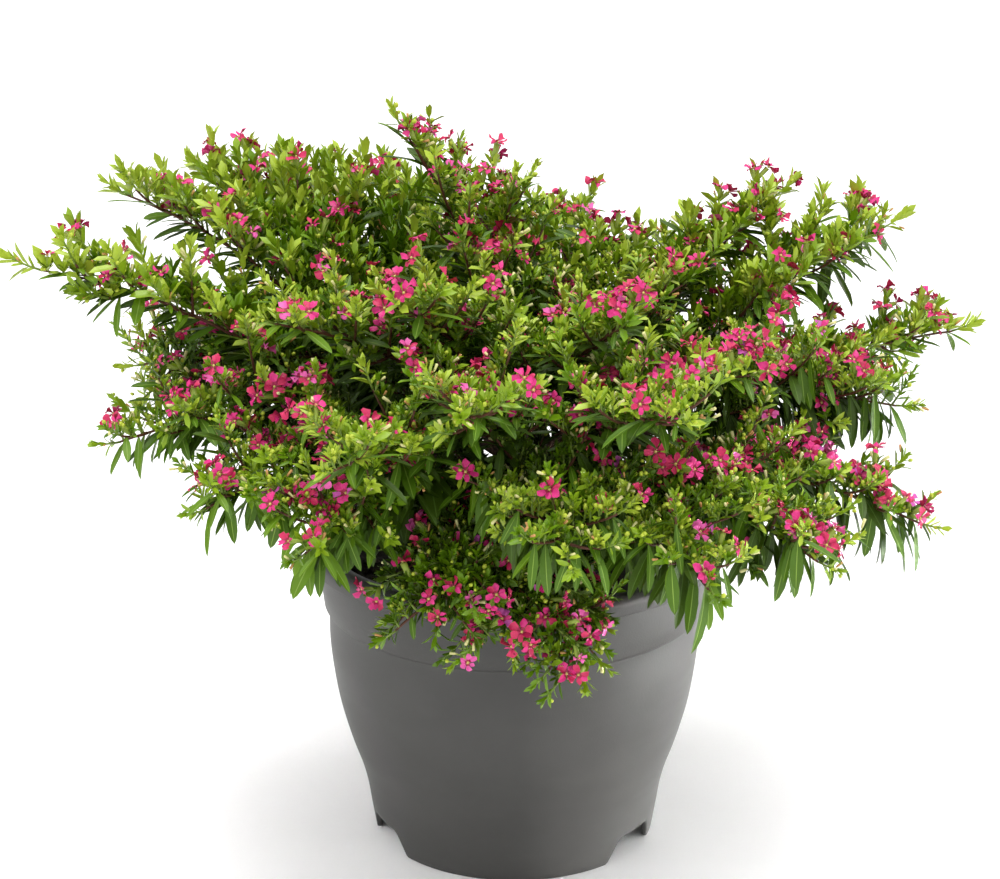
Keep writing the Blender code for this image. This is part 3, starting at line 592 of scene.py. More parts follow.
# The steeper a limb climbs, the higher its bud
limbs = sorted(((tier, limb) for tier in TIERS for limb in tier[-1]),
               key=lambda pair: (pair[1][3] - LOWEST_BUD) / pair[1][2])
shoots, taken = [], []
for rank, (tier, (name, degrees, reach, height)) in enumerate(limbs):
    kind, above, below, leafy_from, spread, hang, twigs, _ = tier
    azimuth = math.radians(degrees)
    bud = bud_height(azimuth, LOWEST_BUD + BUD_STEP * rank, taken)
    taken.append((azimuth, bud))
    outward = np.array((math.cos(azimuth), math.sin(azimuth), 0.0))
    foot = trunk_centre(bud) + outward * trunk_radius(bud)
    shoots.append(Shoot(name, "front" if name.startswith("front") else kind,
                        shoot_line(foot, azimuth, reach, height, above, below),
                        leafy_from, spread, hang, twigs, (abs(above) + abs(below)) / 2))


def unit(vectors):
    """Vectors scaled to length one."""
    return vectors / np.maximum(np.linalg.norm(vectors, axis=-1, keepdims=True), 1e-9)


def tubes(lines, radii, sides, relief=None):
    """Closed round limbs: a ring of sides round each point of each line, square to the line there.
    lines is (n, k, 3) and radii (n, k); relief(angle, point) scales the radius."""
    count, length = lines.shape[:2]
    along = unit(np.gradient(lines, axis=1))
    across = unit(np.cross(along, np.where(np.abs(along[..., 2:]) > 0.95, (1.0, 0.0, 0.0), UP)))
    above = np.cross(across, along)
    angle = np.arange(sides) * math.tau / sides
    out = (across[:, :, None] * np.cos(angle)[:, None] + above[:, :, None] * np.sin(angle)[:, None])
    size = radii[:, :, None, None]
    if relief is not None:
        size = size * relief(angle[None, None, :], lines[:, :, None])[..., None]
    rings = (lines[:, :, None] + out * size).reshape(count, -1, 3)
    points = np.concatenate((rings, lines[:, :1], lines[:, -1:]), 1)
    return copies(points, closed_faces(length, sides))


def bark_relief(angle, point):
    """Low ribs round the stem that wander as they climb: sines of the angle and of the height."""
    height = point[..., 2] * 1000.0
    ribs = np.sin(5 * angle + 0.35 * height + np.sin(0.9 * height))
    fissures = np.sin(11 * angle - 0.22 * height) * np.sin(0.6 * height + 3 * angle)
    return 1.0 + 0.055 * ribs + 0.035 * fissures


trunk_z = np.linspace(TRUNK_FOOT - TRUNK_SINK, TRUNK_TOP, TRUNK_ROWS)
trunk_line = np.array([trunk_centre(z) for z in trunk_z])[None]
trunk_size = np.array([trunk_radius(max(z, TRUNK_FOOT)) for z in trunk_z])[None]
trunk = tubes(trunk_line, trunk_size, TRUNK_SIDES, bark_relief)

share = np.linspace(0.0, 1.0, LINE_POINTS)
shoot_size = np.interp(share, (0.0, 0.5, 1.0), (BOUGH_FOOT_RADIUS, BOUGH_TIP_RADIUS,
                                               MASS_STEM_TIP_RADIUS))
bough_lines, bough_radii = [], []
for shoot in shoots:
    if shoot.leafy_from:
        at = np.linspace(0.0, shoot.leafy_from + BOUGH_OVERLAP, BOUGH_ROWS)
        bough = np.stack([np.interp(at, share, shoot.line[:, axis]) for axis in range(3)], -1)
        bough[0] -= unit(shoot.line[1] - shoot.line[0]) * BOUGH_SINK
        bough_lines.append(bough)
        bough_radii.append(np.interp(at, share, shoot_size) * (1.0 + 0.5 * np.exp(-at / 0.02)))
boughs = tubes(np.array(bough_lines), np.array(bough_radii), BOUGH_SIDES, bark_relief)

# Thin brown bark, dry and finely split lengthwise, with paler cork between the splits
bark = new_material("young_bark", "#4a3427", 0.78)
place = add_node(bark, "ShaderNodeTexCoord")
stretch = add_node(bark, "ShaderNodeMapping", [((place, "Object"), "Vector")])
stretch.inputs["Scale"].default_value = (1.0, 1.0, 0.22)
splits = add_node(bark, "ShaderNodeTexNoise", [((stretch, "Vector"), "Vector")], Scale=520.0,
                  Detail=4.0, Roughness=0.65)
cork = add_node(bark, "ShaderNodeMapRange", [((splits, "Fac"), "Value")], i1=0.38, i2=0.66)
grey = add_node(bark, "ShaderNodeMix", [((cork, "Result"), 0)], data_type="RGBA",
                i6=linear("#2c1d16"), i7=linear("#6d5140"))
feed(bark, grey, 2, "Base Color")
ridge = add_node(bark, "ShaderNodeBump", [((splits, "Fac"), "Height")], Strength=0.7,
                 Distance=0.0006)
feed(bark, ridge, "Normal", "Normal")

wood = put_mesh("stem_and_boughs", [bark], *join([(*trunk, 0), (*boughs, 0)]))
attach(wood, "root")
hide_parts("main_stem", *(shoot.name + "_bough" for shoot in shoots if shoot.leafy_from))


# The finer shoots: each leafy stem carries the twigs of the source's rule, turned about it by the
# golden angle, and side branchlets that fan out level. All along the upper side of each of them
# stand short upright shoots, which are this season's and green. The older ones are red-brown.

GOLDEN_ANGLE = math.radians(137.5)
KINDS = {
    # number of side branchlets, rise of their ends, fineness of the growth, spacing of the leaves
    "upper": (9, 0.22, 1.00, 1.00),
    "front": (9, 0.22, 0.80, 1.00),
    "low": (13, 0.22, 0.70, 1.00),
    "low_back": (18, -0.25, 0.78, 0.55),
    "trailing": (32, -0.18, 0.74, 0.50),
    "inner": (9, 0.22, 0.86, 1.00),
}
TWIG_POINTS = 9
TWIG_LIFT = 0.25
UPRIGHT_POINTS = 4
UPRIGHT_SPACING = 0.0056
TALLEST_UPRIGHTS = (0.026, 0.020, 0.020)
TALLEST_TRAILING = 0.010
POT_GAP = 0.0022
MIX_CLEARANCE = 0.0030
BOX_SLACK = 0.006
grow = np.random.default_rng(5)


def sides_of(forward):
    """Two directions square to forward: level across it, and on its upper side."""
    across = np.cross(forward, UP)
    short = np.linalg.norm(across, axis=-1, keepdims=True) < 0.05
    across = unit(np.where(short, (1.0, 0.0, 0.0), across))
    return across, np.cross(across, forward)


def places_on(lines, which, share):
    """The point at a share of each chosen line's points, and three directions there: forward,
    level across and on the upper side."""
    at = share * (lines.shape[1] - 1)
    index = np.minimum(at.astype(int), lines.shape[1] - 2)
    a, b = lines[which, index], lines[which, index + 1]
    forward = unit(b - a)
    return a + (b - a) * (at - index)[:, None], forward, *sides_of(forward)


def turned(across, above, angle):
    """Directions square to forward, by their angle from across towards above."""
    return across * np.cos(angle)[:, None] + above * np.sin(angle)[:, None]


def dealt(counts):
    """For so many things on each owner, one after another: their owner and number on it."""
    which = np.repeat(np.arange(len(counts)), counts)
    return which, np.arange(len(which)) - np.repeat(np.cumsum(counts) - counts, counts)


def bent_lines(foot, way, length, lift, points):
    """Lines that leave their feet along a way and bend upwards with the square of the distance."""
    t = np.linspace(0.0, 1.0, points)[None, :, None]
    way, length = unit(way)[:, None], np.asarray(length)[:, None, None]
    lift = np.broadcast_to(np.asarray(lift, float), (len(foot),))[:, None, None]
    return foot[:, None] + way * length * t * (1 - 0.3 * lift * t) + UP * length * lift * t * t


def spread_out(lines, spacing, least=1):
    """Evenly spaced places on every line, at least so many: (line number, share of its points)."""
    length = np.linalg.norm(np.diff(lines, axis=1), axis=-1).sum(1)
    count = np.maximum(least, (length / spacing).astype(int))
    which, number = dealt(count)
    return which, (number + 0.6) / count[which]


def clear_of_pot(points):
    """True where a point is neither in the pot's lip and wall nor under the top of the mix."""
    flat = np.hypot(points[..., 0], points[..., 1])
    outside = flat > LIP_RADIUS + POT_GAP
    inside = (flat < mix_edge - POT_GAP) & (points[..., 2] > MIX_TOP + MIX_CLEARANCE)
    return outside | inside | (points[..., 2] > LIP_TOP + POT_GAP)


def in_box(points, slack=BOX_SLACK):
    """True where a point keeps to the plant's box, with a little slack."""
    low, high = np.array(cad_box[0]) - slack, np.array(cad_box[1]) + slack
    return ((points > low) & (points < high)).all(-1)


def source_twigs(shoot):
    """The first-order twigs by the source's rule: foot, direction and length. Feet are spread over
    the stem, off by turns of the golden angle, leaning forward and drawn upwards."""
    cut = round(shoot.leafy_from * (LINE_POINTS - 1))
    stem = shoot.line[cut:]
    stations = (4 if cut else 5) + round(shoot.arch / 18.0)
    last = len(stem) - 1
    stem = stem[sorted({round(last * i / (stations - 1)) for i in range(stations)})]
    draw = random.Random(shoot.name)
    for number in range(shoot.twigs):
        share = 0.08 + 0.80 * (number + 0.5) / shoot.twigs
        foot, forward, across, above = places_on(stem[None], np.zeros(1, int), np.array([share]))
        angle = number * GOLDEN_ANGLE + draw.uniform(-0.4, 0.4)
        off = across * math.cos(angle) + above * (0.45 + 0.75 * math.sin(angle))
        length = shoot.spread * (1.0 - 0.75 * share) * draw.uniform(0.85, 1.1)
        yield foot[0], unit(forward * 0.5 + unit(off) + UP * 0.35)[0], length


def by_name(table, default):
    """One value for each shoot: the table's where it names the shoot, else the default."""
    return np.array([table.get(shoot.name, default) for shoot in shoots])


kinds = np.array([shoot.kind for shoot in shoots])
trails, low_back, in_front, outermost = (kinds == kind for kind in
                                         ("trailing", "low_back", "front", "upper"))
counts, lifts, fineness, crowding = np.array([KINDS[kind] for kind in kinds]).T
# These shoots were pinched back, so their twigs are shorter than the rule's
pinched = by_name({"upper_right": 0.45, "far_right": 0.40, "far_left": 0.60, "right_foot": 0.42,
                   "top": 0.85}, 1.0)
stems = []
twig_feet, twig_ways, twig_lengths, twig_owner = [], [], [], []
for number, shoot in enumerate(shoots):
    at = np.linspace(max(shoot.leafy_from, 0.20), 1.0, LINE_POINTS)
    stems.append(np.stack([np.interp(at, share, shoot.line[:, axis]) for axis in range(3)], -1))
    for foot, way, length in source_twigs(shoot):
        twig_feet.append(foot)
        twig_ways.append(way)
        twig_lengths.append(length * pinched[number])
        twig_owner.append(number)
stems = np.array(stems)
full_lines = np.array([shoot.line for shoot in shoots])
twig_lines = bent_lines(np.array(twig_feet), np.array(twig_ways), np.array(twig_lengths),
                        TWIG_LIFT, TWIG_POINTS)

# Side branchlets fan out level from both sides of each leafy stem, longest near its foot. On its
# right, the trailing shoot at the right has only short ones
trails_right = [shoot.name for shoot in shoots].index("trailing_right")
counts = counts.astype(int)
which, number = dealt(counts)
at = (number + grow.uniform(0.2, 0.8, len(which))) / counts[which] * 0.92
foot, forward, across, above = places_on(stems, which, at)
hand = np.where(number % 2, 1.0, -1.0)[:, None] * grow.uniform(0.55, 1.0, (len(which), 1))
way = forward * 0.75 + across * hand + above * grow.uniform(-0.15, 0.45, (len(which), 1))
length = np.array([shoot.spread for shoot in shoots])[which] * (1.05 - 0.70 * at)
length = length * grow.uniform(0.75, 1.15, len(which))
length = np.where((which == trails_right) & (hand[:, 0] < 0.0), 0.35 * length, length)
length = length * np.sqrt(pinched[which])
branchlets = bent_lines(foot, way, length, lifts[which], TWIG_POINTS)
keep = clear_of_pot(branchlets).all(1) & in_box(branchlets).all(1)
branchlets = branchlets[keep]
owners = np.arange(len(shoots)), np.array(twig_owner), which[keep]
# Upright shoots stand lower or taller than the rule's on these stems
stature = by_name({"far_left": 0.60, "far_right": 0.50, "upper_right": 0.60, "back_right": 0.75,
                   "left": 0.85, "top": 1.10, "high_left": 1.50, "ridge_left": 1.80,
                   "back_left": 1.80, "left_inner": 1.60, "right": 1.50, "right_foot": 1.20}, 1.0)
# They get shorter along a stem by this share
waning = np.select([stature > 1.3, pinched < 0.9], [0.50, 0.92], 0.72)
# The last shoot, which carries a stem on, is longer on these
leaders = by_name({"far_left": 0.014, "ridge_left": 0.014, "back_left": 0.020,
                   "trailing_front": 0.018}, 0.010)

# Upright shoots crowd the upper side of every stem, twig and branchlet, and a last one ends each
upright_lines, upright_owner = [], []
for lines, tallest, owner in zip((stems, twig_lines, branchlets), TALLEST_UPRIGHTS, owners):
    which, at = spread_out(lines, fineness[owner] * UPRIGHT_SPACING, 2)
    span = np.linalg.norm(lines[:, -1] - lines[:, 0], axis=1)
    tallest = tallest * fineness[owner] ** 0.7 * stature[owner]
    tallest = np.where(trails[owner], TALLEST_TRAILING, tallest)
    tallest = np.minimum(tallest, 0.003 + 0.42 * span)[which]
    foot, forward, across, above = places_on(lines, which, at)
    lean = grow.normal(0.0, 0.40, (len(which), 1))
    way = forward * grow.uniform(0.30, 0.80, (len(which), 1)) + above * 0.50 + UP * 0.75
    way = way + across * lean
    length = tallest * (1.0 - waning[owner[which]] * at) * grow.uniform(0.55, 1.15, len(which))
    upright_lines.append(bent_lines(foot, way, length, 0.15, UPRIGHT_POINTS))
    ends, heading, *_ = places_on(lines, np.arange(len(lines)), np.full(len(lines), 0.999))
    upright_lines.append(bent_lines(ends, heading + UP * 0.12, leaders[owner], 0.10,
                                    UPRIGHT_POINTS))
    upright_owner += [owner[which], owner]
uprights = np.concatenate(upright_lines)
keep = clear_of_pot(uprights).all(1) & in_box(uprights).all(1)
uprights, upright_owner = uprights[keep], np.concatenate(upright_owner)[keep]

# How far out in the crown each shoot stands: its distance from the crown's heart, as a share of
# the farthest in the same direction. The outer shoots are in the light, and carry the young growth.
HEART = np.array((0.0, 0.0, 0.175))
HEART_SECTORS, HEART_BANDS = 30, 9


def from_heart(points):
    """Distance from the heart, stretched a little in depth and height, and the number of the cell
    that the point is in: its sector round the heart times the bands, plus its band of height."""
    out = points - HEART
    far = np.linalg.norm(out * (1.0, 1.15, 1.25), axis=-1)
    sector = ((np.arctan2(out[:, 1], out[:, 0]) / math.tau % 1.0) * HEART_SECTORS).astype(int)
    band = ((out[:, 2] / np.maximum(np.linalg.norm(out, axis=-1), 1e-6) + 1) / 2 * 0.999
            * HEART_BANDS).astype(int)
    return far, sector * HEART_BANDS + band


far, cell = from_heart(uprights[:, -1])
farthest = np.zeros(HEART_SECTORS * HEART_BANDS)
np.maximum.at(farthest, cell, far)
outer = far / farthest[cell]
tops = uprights[:, -1, 2]
lit = np.clip(outer + grow.normal(0.0, 0.05, len(outer)), 0.0, 1.0)

# The shoots that have no bough show the bare foot of their stem
bare_feet = full_lines[[not shoot.leafy_from for shoot in shoots]][:, :8]
TWIG_SETS = (
    # lines, radius at the foot and at the tip, sides, finish
    (stems, 0.0010, 0.0005, 6, 0),
    (twig_lines, 0.0009, 0.0005, 5, 0),
    (branchlets, 0.0008, 0.0005, 5, 0),
    (uprights, 0.00065, 0.0004, 3, 1),
    (bare_feet, 0.0014, 0.0014, 6, 0),
)
twig_parts = []
for lines, foot_size, tip_size, sides, finish in TWIG_SETS:
    radii = np.broadcast_to(np.linspace(foot_size, tip_size, lines.shape[1]), lines.shape[:2])
    twig_parts.append((*tubes(lines, radii, sides), finish))

# Young stems have a smooth thin skin: red-brown on last season's growth, green on this season's
ripe_stem = new_material("ripened_stem", "#55301f", 0.60)
green_stem = new_material("green_stem", "#7d9440", 0.52)
for material in (ripe_stem, green_stem):
    grained(material, 1100.0, 0.4, 0.0002)

twig_piece = put_mesh("twigs_and_shoots", [ripe_stem, green_stem], *join(twig_parts))
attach(twig_piece, "root")


# Grown leaves: single oblong blades with a pale midrib, the longest 35 mm. They stand in pairs
# along the sides and the underside of the stems, dark and leathery, and the older ones droop.

LEAF_SPACING = 0.0068
LEAF_COLUMNS = np.array((-1.0, -0.08, 0.08, 1.0))
LEAF_ROWS = np.array((0.09, 0.28, 0.52, 0.76, 0.92))
LEAF_CUTS = (
    # width, fold, droop and wave, over the length
    (0.20, 0.35, 0.10, 0.02), (0.24, 0.25, 0.16, 0.03), (0.17, 0.45, 0.05, 0.00),
    (0.27, 0.18, 0.20, 0.04), (0.22, 0.30, 0.26, 0.02),
)


def leaf_outline(u):
    """Half the width of a blade over its greatest: the sine of a share of the length, drawn out so
    that the blade is widest a little past its middle and ends in a short blunt point."""
    return np.sin(math.pi * u ** 1.15) ** 0.62


def leaf_shape(rows, columns, width, fold, droop, wave=0.0):
    """A blade from (0,0,0) to about (1,0,0): y is the width by its outline, z rises from the midrib
    to the edges by the fold, falls towards the tip by the droop, and the edges may wave."""
    u, v = np.meshgrid(rows, columns, indexing="ij")
    y = v * leaf_outline(u) * width / 2
    z = fold * np.abs(y) - droop * u ** 2 + wave * np.sin(9 * u) * np.abs(v) * width
    grid = np.stack((u, y, z), -1).reshape(-1, 3)
    return np.concatenate((grid, [(0.0, 0.0, 0.0)], [(1.0, 0.0, -droop)]))


def open_faces(rows, columns):
    """A sheet of rows by columns that comes to a point at both ends, and each face's column."""
    i, j = np.meshgrid(np.arange(rows - 1), np.arange(columns - 1), indexing="ij")
    quads = np.stack((i * columns + j, (i + 1) * columns + j, (i + 1) * columns + j + 1,
                      i * columns + j + 1), -1).reshape(-1)
    strip = np.arange(columns - 1)
    foot = np.stack((np.full(columns - 1, rows * columns), strip, strip + 1), -1).reshape(-1)
    end = (rows - 1) * columns + strip
    tip = np.stack((np.full(columns - 1, rows * columns + 1), end + 1, end), -1).reshape(-1)
    sizes = np.concatenate((np.full(j.size, 4), np.full(2 * (columns - 1), 3)))
    return np.concatenate((quads, foot, tip)), sizes, np.concatenate((j.reshape(-1), strip, strip))


def set_out(shape, foot, along, up, scale):
    """Copies of a shape: its X runs along a direction, its Z as near up as it can, and scale sizes
    each copy. shape is (v, 3) or (n, v, 3)."""
    along = unit(along)
    side = unit(np.cross(up, along))
    normal = np.cross(along, side)
    turn = np.stack((along, side, normal), -2)
    shape = np.broadcast_to(shape, (len(foot), *shape.shape[-2:]))
    return foot[:, None] + np.einsum("nvi,nij->nvj", shape * np.reshape(scale, (-1, 1, 1)), turn)


# How far the grown leaves hang: the low shoots' fall most, those on the left stand out more
DROOPS = {"left": 0.35, "left_inner": 0.45, "low_left": 0.50, "low_front_left": 0.50,
          "low_front": 0.75, "back_low": 0.95, "back_low_left": 0.80, "back_low_right": 0.95,
          "shoulder_right": 0.45}
droops = np.array([DROOPS.get(shoot.name, shoot.hang ** 1.5) for shoot in shoots])
LEAF_SETS = (
    # lines, the shoot that each is on, length of the longest leaf
    (stems, owners[0], 0.029), (twig_lines, owners[1], 0.025), (branchlets, owners[2], 0.023),
    (full_lines[:, 4:14], owners[0], 0.029),
)
leaf_feet, leaf_ways, leaf_ups, leaf_sizes, leaf_shares, leaf_owners = [], [], [], [], [], []
for lines, owner, longest in LEAF_SETS:
    which, at = spread_out(lines, LEAF_SPACING * crowding[owner], 2)
    fall = droops[owner[which]]
    for hand in (-1.0, 1.0):
        droop = (fall * grow.uniform(0.20, 1.25, len(which)))[:, None]
        foot, forward, across, above = places_on(lines, which, at)
        way = across * hand * (1.0 - 0.5 * droop) * grow.uniform(0.3, 1.2, (len(which), 1))
        way = way + forward * grow.uniform(0.6, 1.2, (len(which), 1)) * (1.0 - 0.5 * droop)
        way = way - above * grow.uniform(0.0, 0.7, (len(which), 1)) - UP * 1.7 * droop
        leaf_feet.append(foot)
        leaf_ways.append(unit(way))
        leaf_ups.append(above + forward * 0.6 + UP * 0.4 + grow.normal(0.0, 0.25, foot.shape))
        taper = np.where(trails[owner[which]], 0.62, 1.0 + 0.12 * fall)
        taper = taper * (1.0 - (0.45 - 0.22 * fall) * at)
        leaf_sizes.append(longest * taper * grow.uniform(0.65, 1.1, len(which)))
        leaf_shares.append(np.where((fall < 0.1) & (at > 0.4), 0.50, 0.86))
        leaf_owners.append(owner[which])
grown_feet, grown_ways = np.concatenate(leaf_feet), np.concatenate(leaf_ways)
grown_ups, grown_size = np.concatenate(leaf_ups), np.concatenate(leaf_sizes)
grown_tips = grown_feet + grown_ways * grown_size[:, None]
keep = clear_of_pot(grown_tips) & clear_of_pot((grown_feet + grown_tips) / 2) & in_box(grown_tips)
keep &= grow.uniform(0.0, 1.0, len(keep)) < np.concatenate(leaf_shares)
grown_feet, grown_ways, grown_ups, grown_size, leaf_owner = (
    a[keep] for a in (grown_feet, grown_ways, grown_ups, grown_size, np.concatenate(leaf_owners)))
leaf_shapes = np.stack([leaf_shape(LEAF_ROWS, LEAF_COLUMNS, *cut) for cut in LEAF_CUTS])
grown_points = set_out(leaf_shapes[grow.integers(0, len(leaf_shapes), len(grown_feet))],
                       grown_feet, grown_ways, grown_ups, grown_size)
*leaf_faces, leaf_strip = open_faces(len(LEAF_ROWS), len(LEAF_COLUMNS))
# The tone of a grown leaf is painted shade: the deeper in the crown it stands, the darker. Those on
# the trailing shoots and most hanging ones, under the crown, are a tone darker still; some at random
# are darker too, and half of those on the upper shoots are a tone paler, as painted light.
far, cell = from_heart(grown_feet)
grown_outer = far / np.maximum(farthest[cell], 1e-6)
leaf_shade_tone = np.select([grown_outer > 0.86, grown_outer > 0.62], [0, 1], 2)
hanging = droops[leaf_owner] > 0.5
chance = grow.uniform(0, 1, len(leaf_shade_tone))
leaf_shade_tone = np.clip(leaf_shade_tone + (chance < 0.3) - (outermost[leaf_owner] & (chance > 0.5))
                    + trails[leaf_owner] + (hanging & (chance > 0.4)), 0, 2)

# Leathery green blades, satin above, with a veined skin; the midrib is paler than the blade
# The three blade tones go from the outside of the crown inwards as painted shade, and the midrib of
# a darker blade is the shaded one
LEAF_FINISHES = (
    ("leaf_mid_green", "#5b7e08", 0.46, 1.38), ("leaf_full_green", "#486a09", 0.45, 1.38),
    ("leaf_deep_green", "#3b540b", 0.46, 1.38), ("midrib_pale", "#7d9a3c", 0.48, 1.38),
    ("midrib_shaded", "#527029", 0.48, 1.38),
)


def skinned(rows, grain_mm, strength):
    """The finishes of a table of names, colours, roughness and IOR, each with a living skin: fine
    swellings between the veins as bump, and a waxy bloom on the gloss."""
    finishes = []
    for row in rows:
        material = new_material(*row)
        cells = grained(material, 1000.0 / grain_mm, strength, 0.0003)
        base = material.node_tree.nodes["Principled BSDF"].inputs["Roughness"].default_value
        waxy = add_node(material, "ShaderNodeMapRange", [((cells, "Fac"), "Value")], i1=0.3,
                        i2=0.7, i3=base - 0.08, i4=base + 0.10)
        feed(material, waxy, "Result", "Roughness")
        finishes.append(material)
    return finishes


def leaf_tones(tone, palest=1):
    """Each face's material: the leaf's tone on the blade, and on the midrib the pale finish up to
    the palest tone and the shaded one above it."""
    return np.where(leaf_strip[None] == 1, 3 + (tone[:, None] > palest), tone[:, None]).reshape(-1)


leaf_finishes = skinned(LEAF_FINISHES, 1.6, 0.5)
grown_leaves = put_mesh("grown_leaves", leaf_finishes, *copies(grown_points, leaf_faces),
                        leaf_tones(leaf_shade_tone))
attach(grown_leaves, "root")

# The oldest leaves make a hem under the long shoots of the outline: they stand out level in pairs,
# and lean down on the low shoots at the left and right
HEM_SPACING = 0.0078
HEM_FALL = 0.08
HEM_FALL_LOW = 0.45
HEM_LENGTH = 0.0185
HEM_LENGTH_PER_FALL = 0.014
HEMMED_LOW = ("left", "left_inner", "low_left", "low_front_left", "back_low_left", "right")
hem_draw = np.random.default_rng(23)
hem_low = np.array([shoot.name in HEMMED_LOW for shoot in shoots])
hemmed = np.flatnonzero(outermost | hem_low)
hem_lines = full_lines[hemmed, 6:23]
hem_which, hem_at = spread_out(hem_lines, HEM_SPACING)
hem_foot, forward, across, _ = places_on(hem_lines, hem_which, hem_at)
level = unit(forward * (1.0, 1.0, 0.0))
fall = np.where(hem_low[hemmed][hem_which], HEM_FALL_LOW, HEM_FALL)[:, None]
hem_feet, hem_ways, hem_ups, hem_size = [], [], [], []
for hand in (-1.0, 1.0):
    aside = across * hand * hem_draw.uniform(0.10, 0.60, fall.shape)
    hem_feet.append(hem_foot)
    hem_ways.append(unit(level + aside - UP * (fall + hem_draw.normal(0.05, 0.12, fall.shape))))
    hem_ups.append(UP + level * 0.2 + across * hem_draw.normal(0.0, 0.90, fall.shape))
    hem_size.append((HEM_LENGTH + HEM_LENGTH_PER_FALL * fall[:, 0]) * (1.05 - 0.25 * hem_at)
                    * hem_draw.uniform(0.80, 1.15, len(hem_at)))
hem_feet, hem_ways, hem_ups, hem_size = (
    np.concatenate(a) for a in (hem_feet, hem_ways, hem_ups, hem_size))
hem_tips = hem_feet + hem_ways * hem_size[:, None]
keep = clear_of_pot(hem_tips) & clear_of_pot((hem_feet + hem_tips) / 2) & in_box(hem_tips)
hem_points = set_out(leaf_shapes[hem_draw.integers(0, len(leaf_shapes), keep.sum())],
                     hem_feet[keep], hem_ways[keep], hem_ups[keep], hem_size[keep])
# Most hem leaves are given the deep tone as painted shade, for leaves seen from below, and a few the
# mid tone with a pale midrib
hem_shade_tone = hem_draw.choice((0, 1, 2), keep.sum(), p=(0.10, 0.35, 0.55))
hem_leaves = put_mesh("outline_leaves", leaf_finishes, *copies(hem_points, leaf_faces),
                      leaf_tones(hem_shade_tone, 0))
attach(hem_leaves, "root")


# Young leaves: small lance-shaped blades in pairs up the upright shoots, each pair turned a quarter
# from the last, and a tuft at the tip. Their tones are partly their own and partly painted light:
# bright yellow-green where they stand out in the light, and greener in painted shade.

YOUNG_ROWS = np.array((0.30, 0.74))
YOUNG_COLUMNS = np.array((-1.0, 0.0, 1.0))
YOUNG_CUTS = (
    # width, fold and droop, over the length
    (0.31, 0.50, 0.06), (0.35, 0.36, 0.12), (0.28, 0.65, -0.04), (0.39, 0.30, 0.20),
)
NODE_SPACING = 0.0032
FIRST_NODE = 0.12
YOUNG_LENGTH = 0.0118
YOUNG_SHRINK = 0.0043
YOUNG_SHRINK_OUTERMOST = 0.0022
TUFT_LENGTH = 0.0062
TUFT_LENGTH_OUTERMOST = 0.0085

fine, far_out = fineness[upright_owner], outermost[upright_owner]
node_counts = np.maximum(3, (np.linalg.norm(uprights[:, -1] - uprights[:, 0], axis=1)
                             / (NODE_SPACING * fine)).astype(int) + 1)
node_counts = np.where(lit < 0.55, np.minimum(node_counts, 3), node_counts)
spray, number = dealt(node_counts)
rise = FIRST_NODE + (1.0 - FIRST_NODE) * (number + 0.5) / node_counts[spray]
foot, forward, across, above = places_on(uprights, spray, np.minimum(rise, 0.995))
quarter = (number % 2) * math.pi / 2 + grow.normal(0.0, 0.25, len(spray)) + (spray * 1.7)
pair = turned(across, above, quarter)
feet, ways, ups, size, owner = [], [], [], [], []
for hand in (-1.0, 1.0):
    open_angle = np.radians(58.0 - 34.0 * rise + grow.normal(0.0, 10.0, len(spray)))
    radial = pair * hand
    way = forward * np.cos(open_angle)[:, None] + radial * np.sin(open_angle)[:, None]
    feet.append(foot)
    ways.append(way)
    ups.append(forward - radial * 0.2)
    shrink = np.where(far_out, YOUNG_SHRINK_OUTERMOST, YOUNG_SHRINK)[spray]
    longest = YOUNG_LENGTH - shrink * rise
    size.append(longest * fine[spray] * grow.uniform(0.60, 1.20, len(spray)))
    owner.append(spray)
tip_foot, tip_way, across, above = places_on(uprights, np.arange(len(uprights)),
                                             np.full(len(uprights), 0.995))
for turn in (0.4, 2.5, 4.6):
    radial = turned(across, above, turn + grow.normal(0.0, 0.3, len(uprights)))
    feet.append(tip_foot)
    ways.append(tip_way + radial * grow.uniform(0.2, 0.5, (len(uprights), 1)))
    ups.append(tip_way - radial)
    size.append(np.where(far_out, TUFT_LENGTH_OUTERMOST, TUFT_LENGTH) * fine
                * grow.uniform(0.7, 1.2, len(uprights)))
    owner.append(np.arange(len(uprights)))
young_feet, young_ways, young_ups = (np.concatenate(a) for a in (feet, ways, ups))
young_size, young_owner = np.concatenate(size), np.concatenate(owner)
tips = young_feet + unit(young_ways) * young_size[:, None]
keep = clear_of_pot(tips) & in_box(tips, BOX_SLACK + 0.002)
young_feet, young_ways, young_ups, young_size, young_owner = (
    a[keep] for a in (young_feet, young_ways, young_ups, young_size, young_owner))
young_shapes = np.stack([leaf_shape(YOUNG_ROWS, YOUNG_COLUMNS, *cut) for cut in YOUNG_CUTS])
young_points = set_out(young_shapes[grow.integers(0, len(young_shapes), len(young_feet))],
                       young_feet, young_ways, young_ups, young_size)
*young_faces, _ = open_faces(len(YOUNG_ROWS), len(YOUNG_COLUMNS))
# The outer sprays are paler in painted light; the low ones and those that trail are darker in
# painted shade, and a random nudge moves some a tone
spray_light_tone = np.select([lit > 0.90, lit > 0.76, lit > 0.60], [0, 1, 2], 3)
nudge = grow.choice((-1, 0, 0, 1), len(spray_light_tone))
chance = grow.uniform(0, 1, len(fine))
painted_shade_share = np.select([kinds == "low", low_back], [0.70, 0.30], 0.0)[upright_owner]
darker = np.where(trails[upright_owner], 2, chance < painted_shade_share)
spray_light_tone = np.clip(spray_light_tone + nudge + darker - (far_out & (chance < 0.50)), 0, 5)
young_tone = spray_light_tone[young_owner]
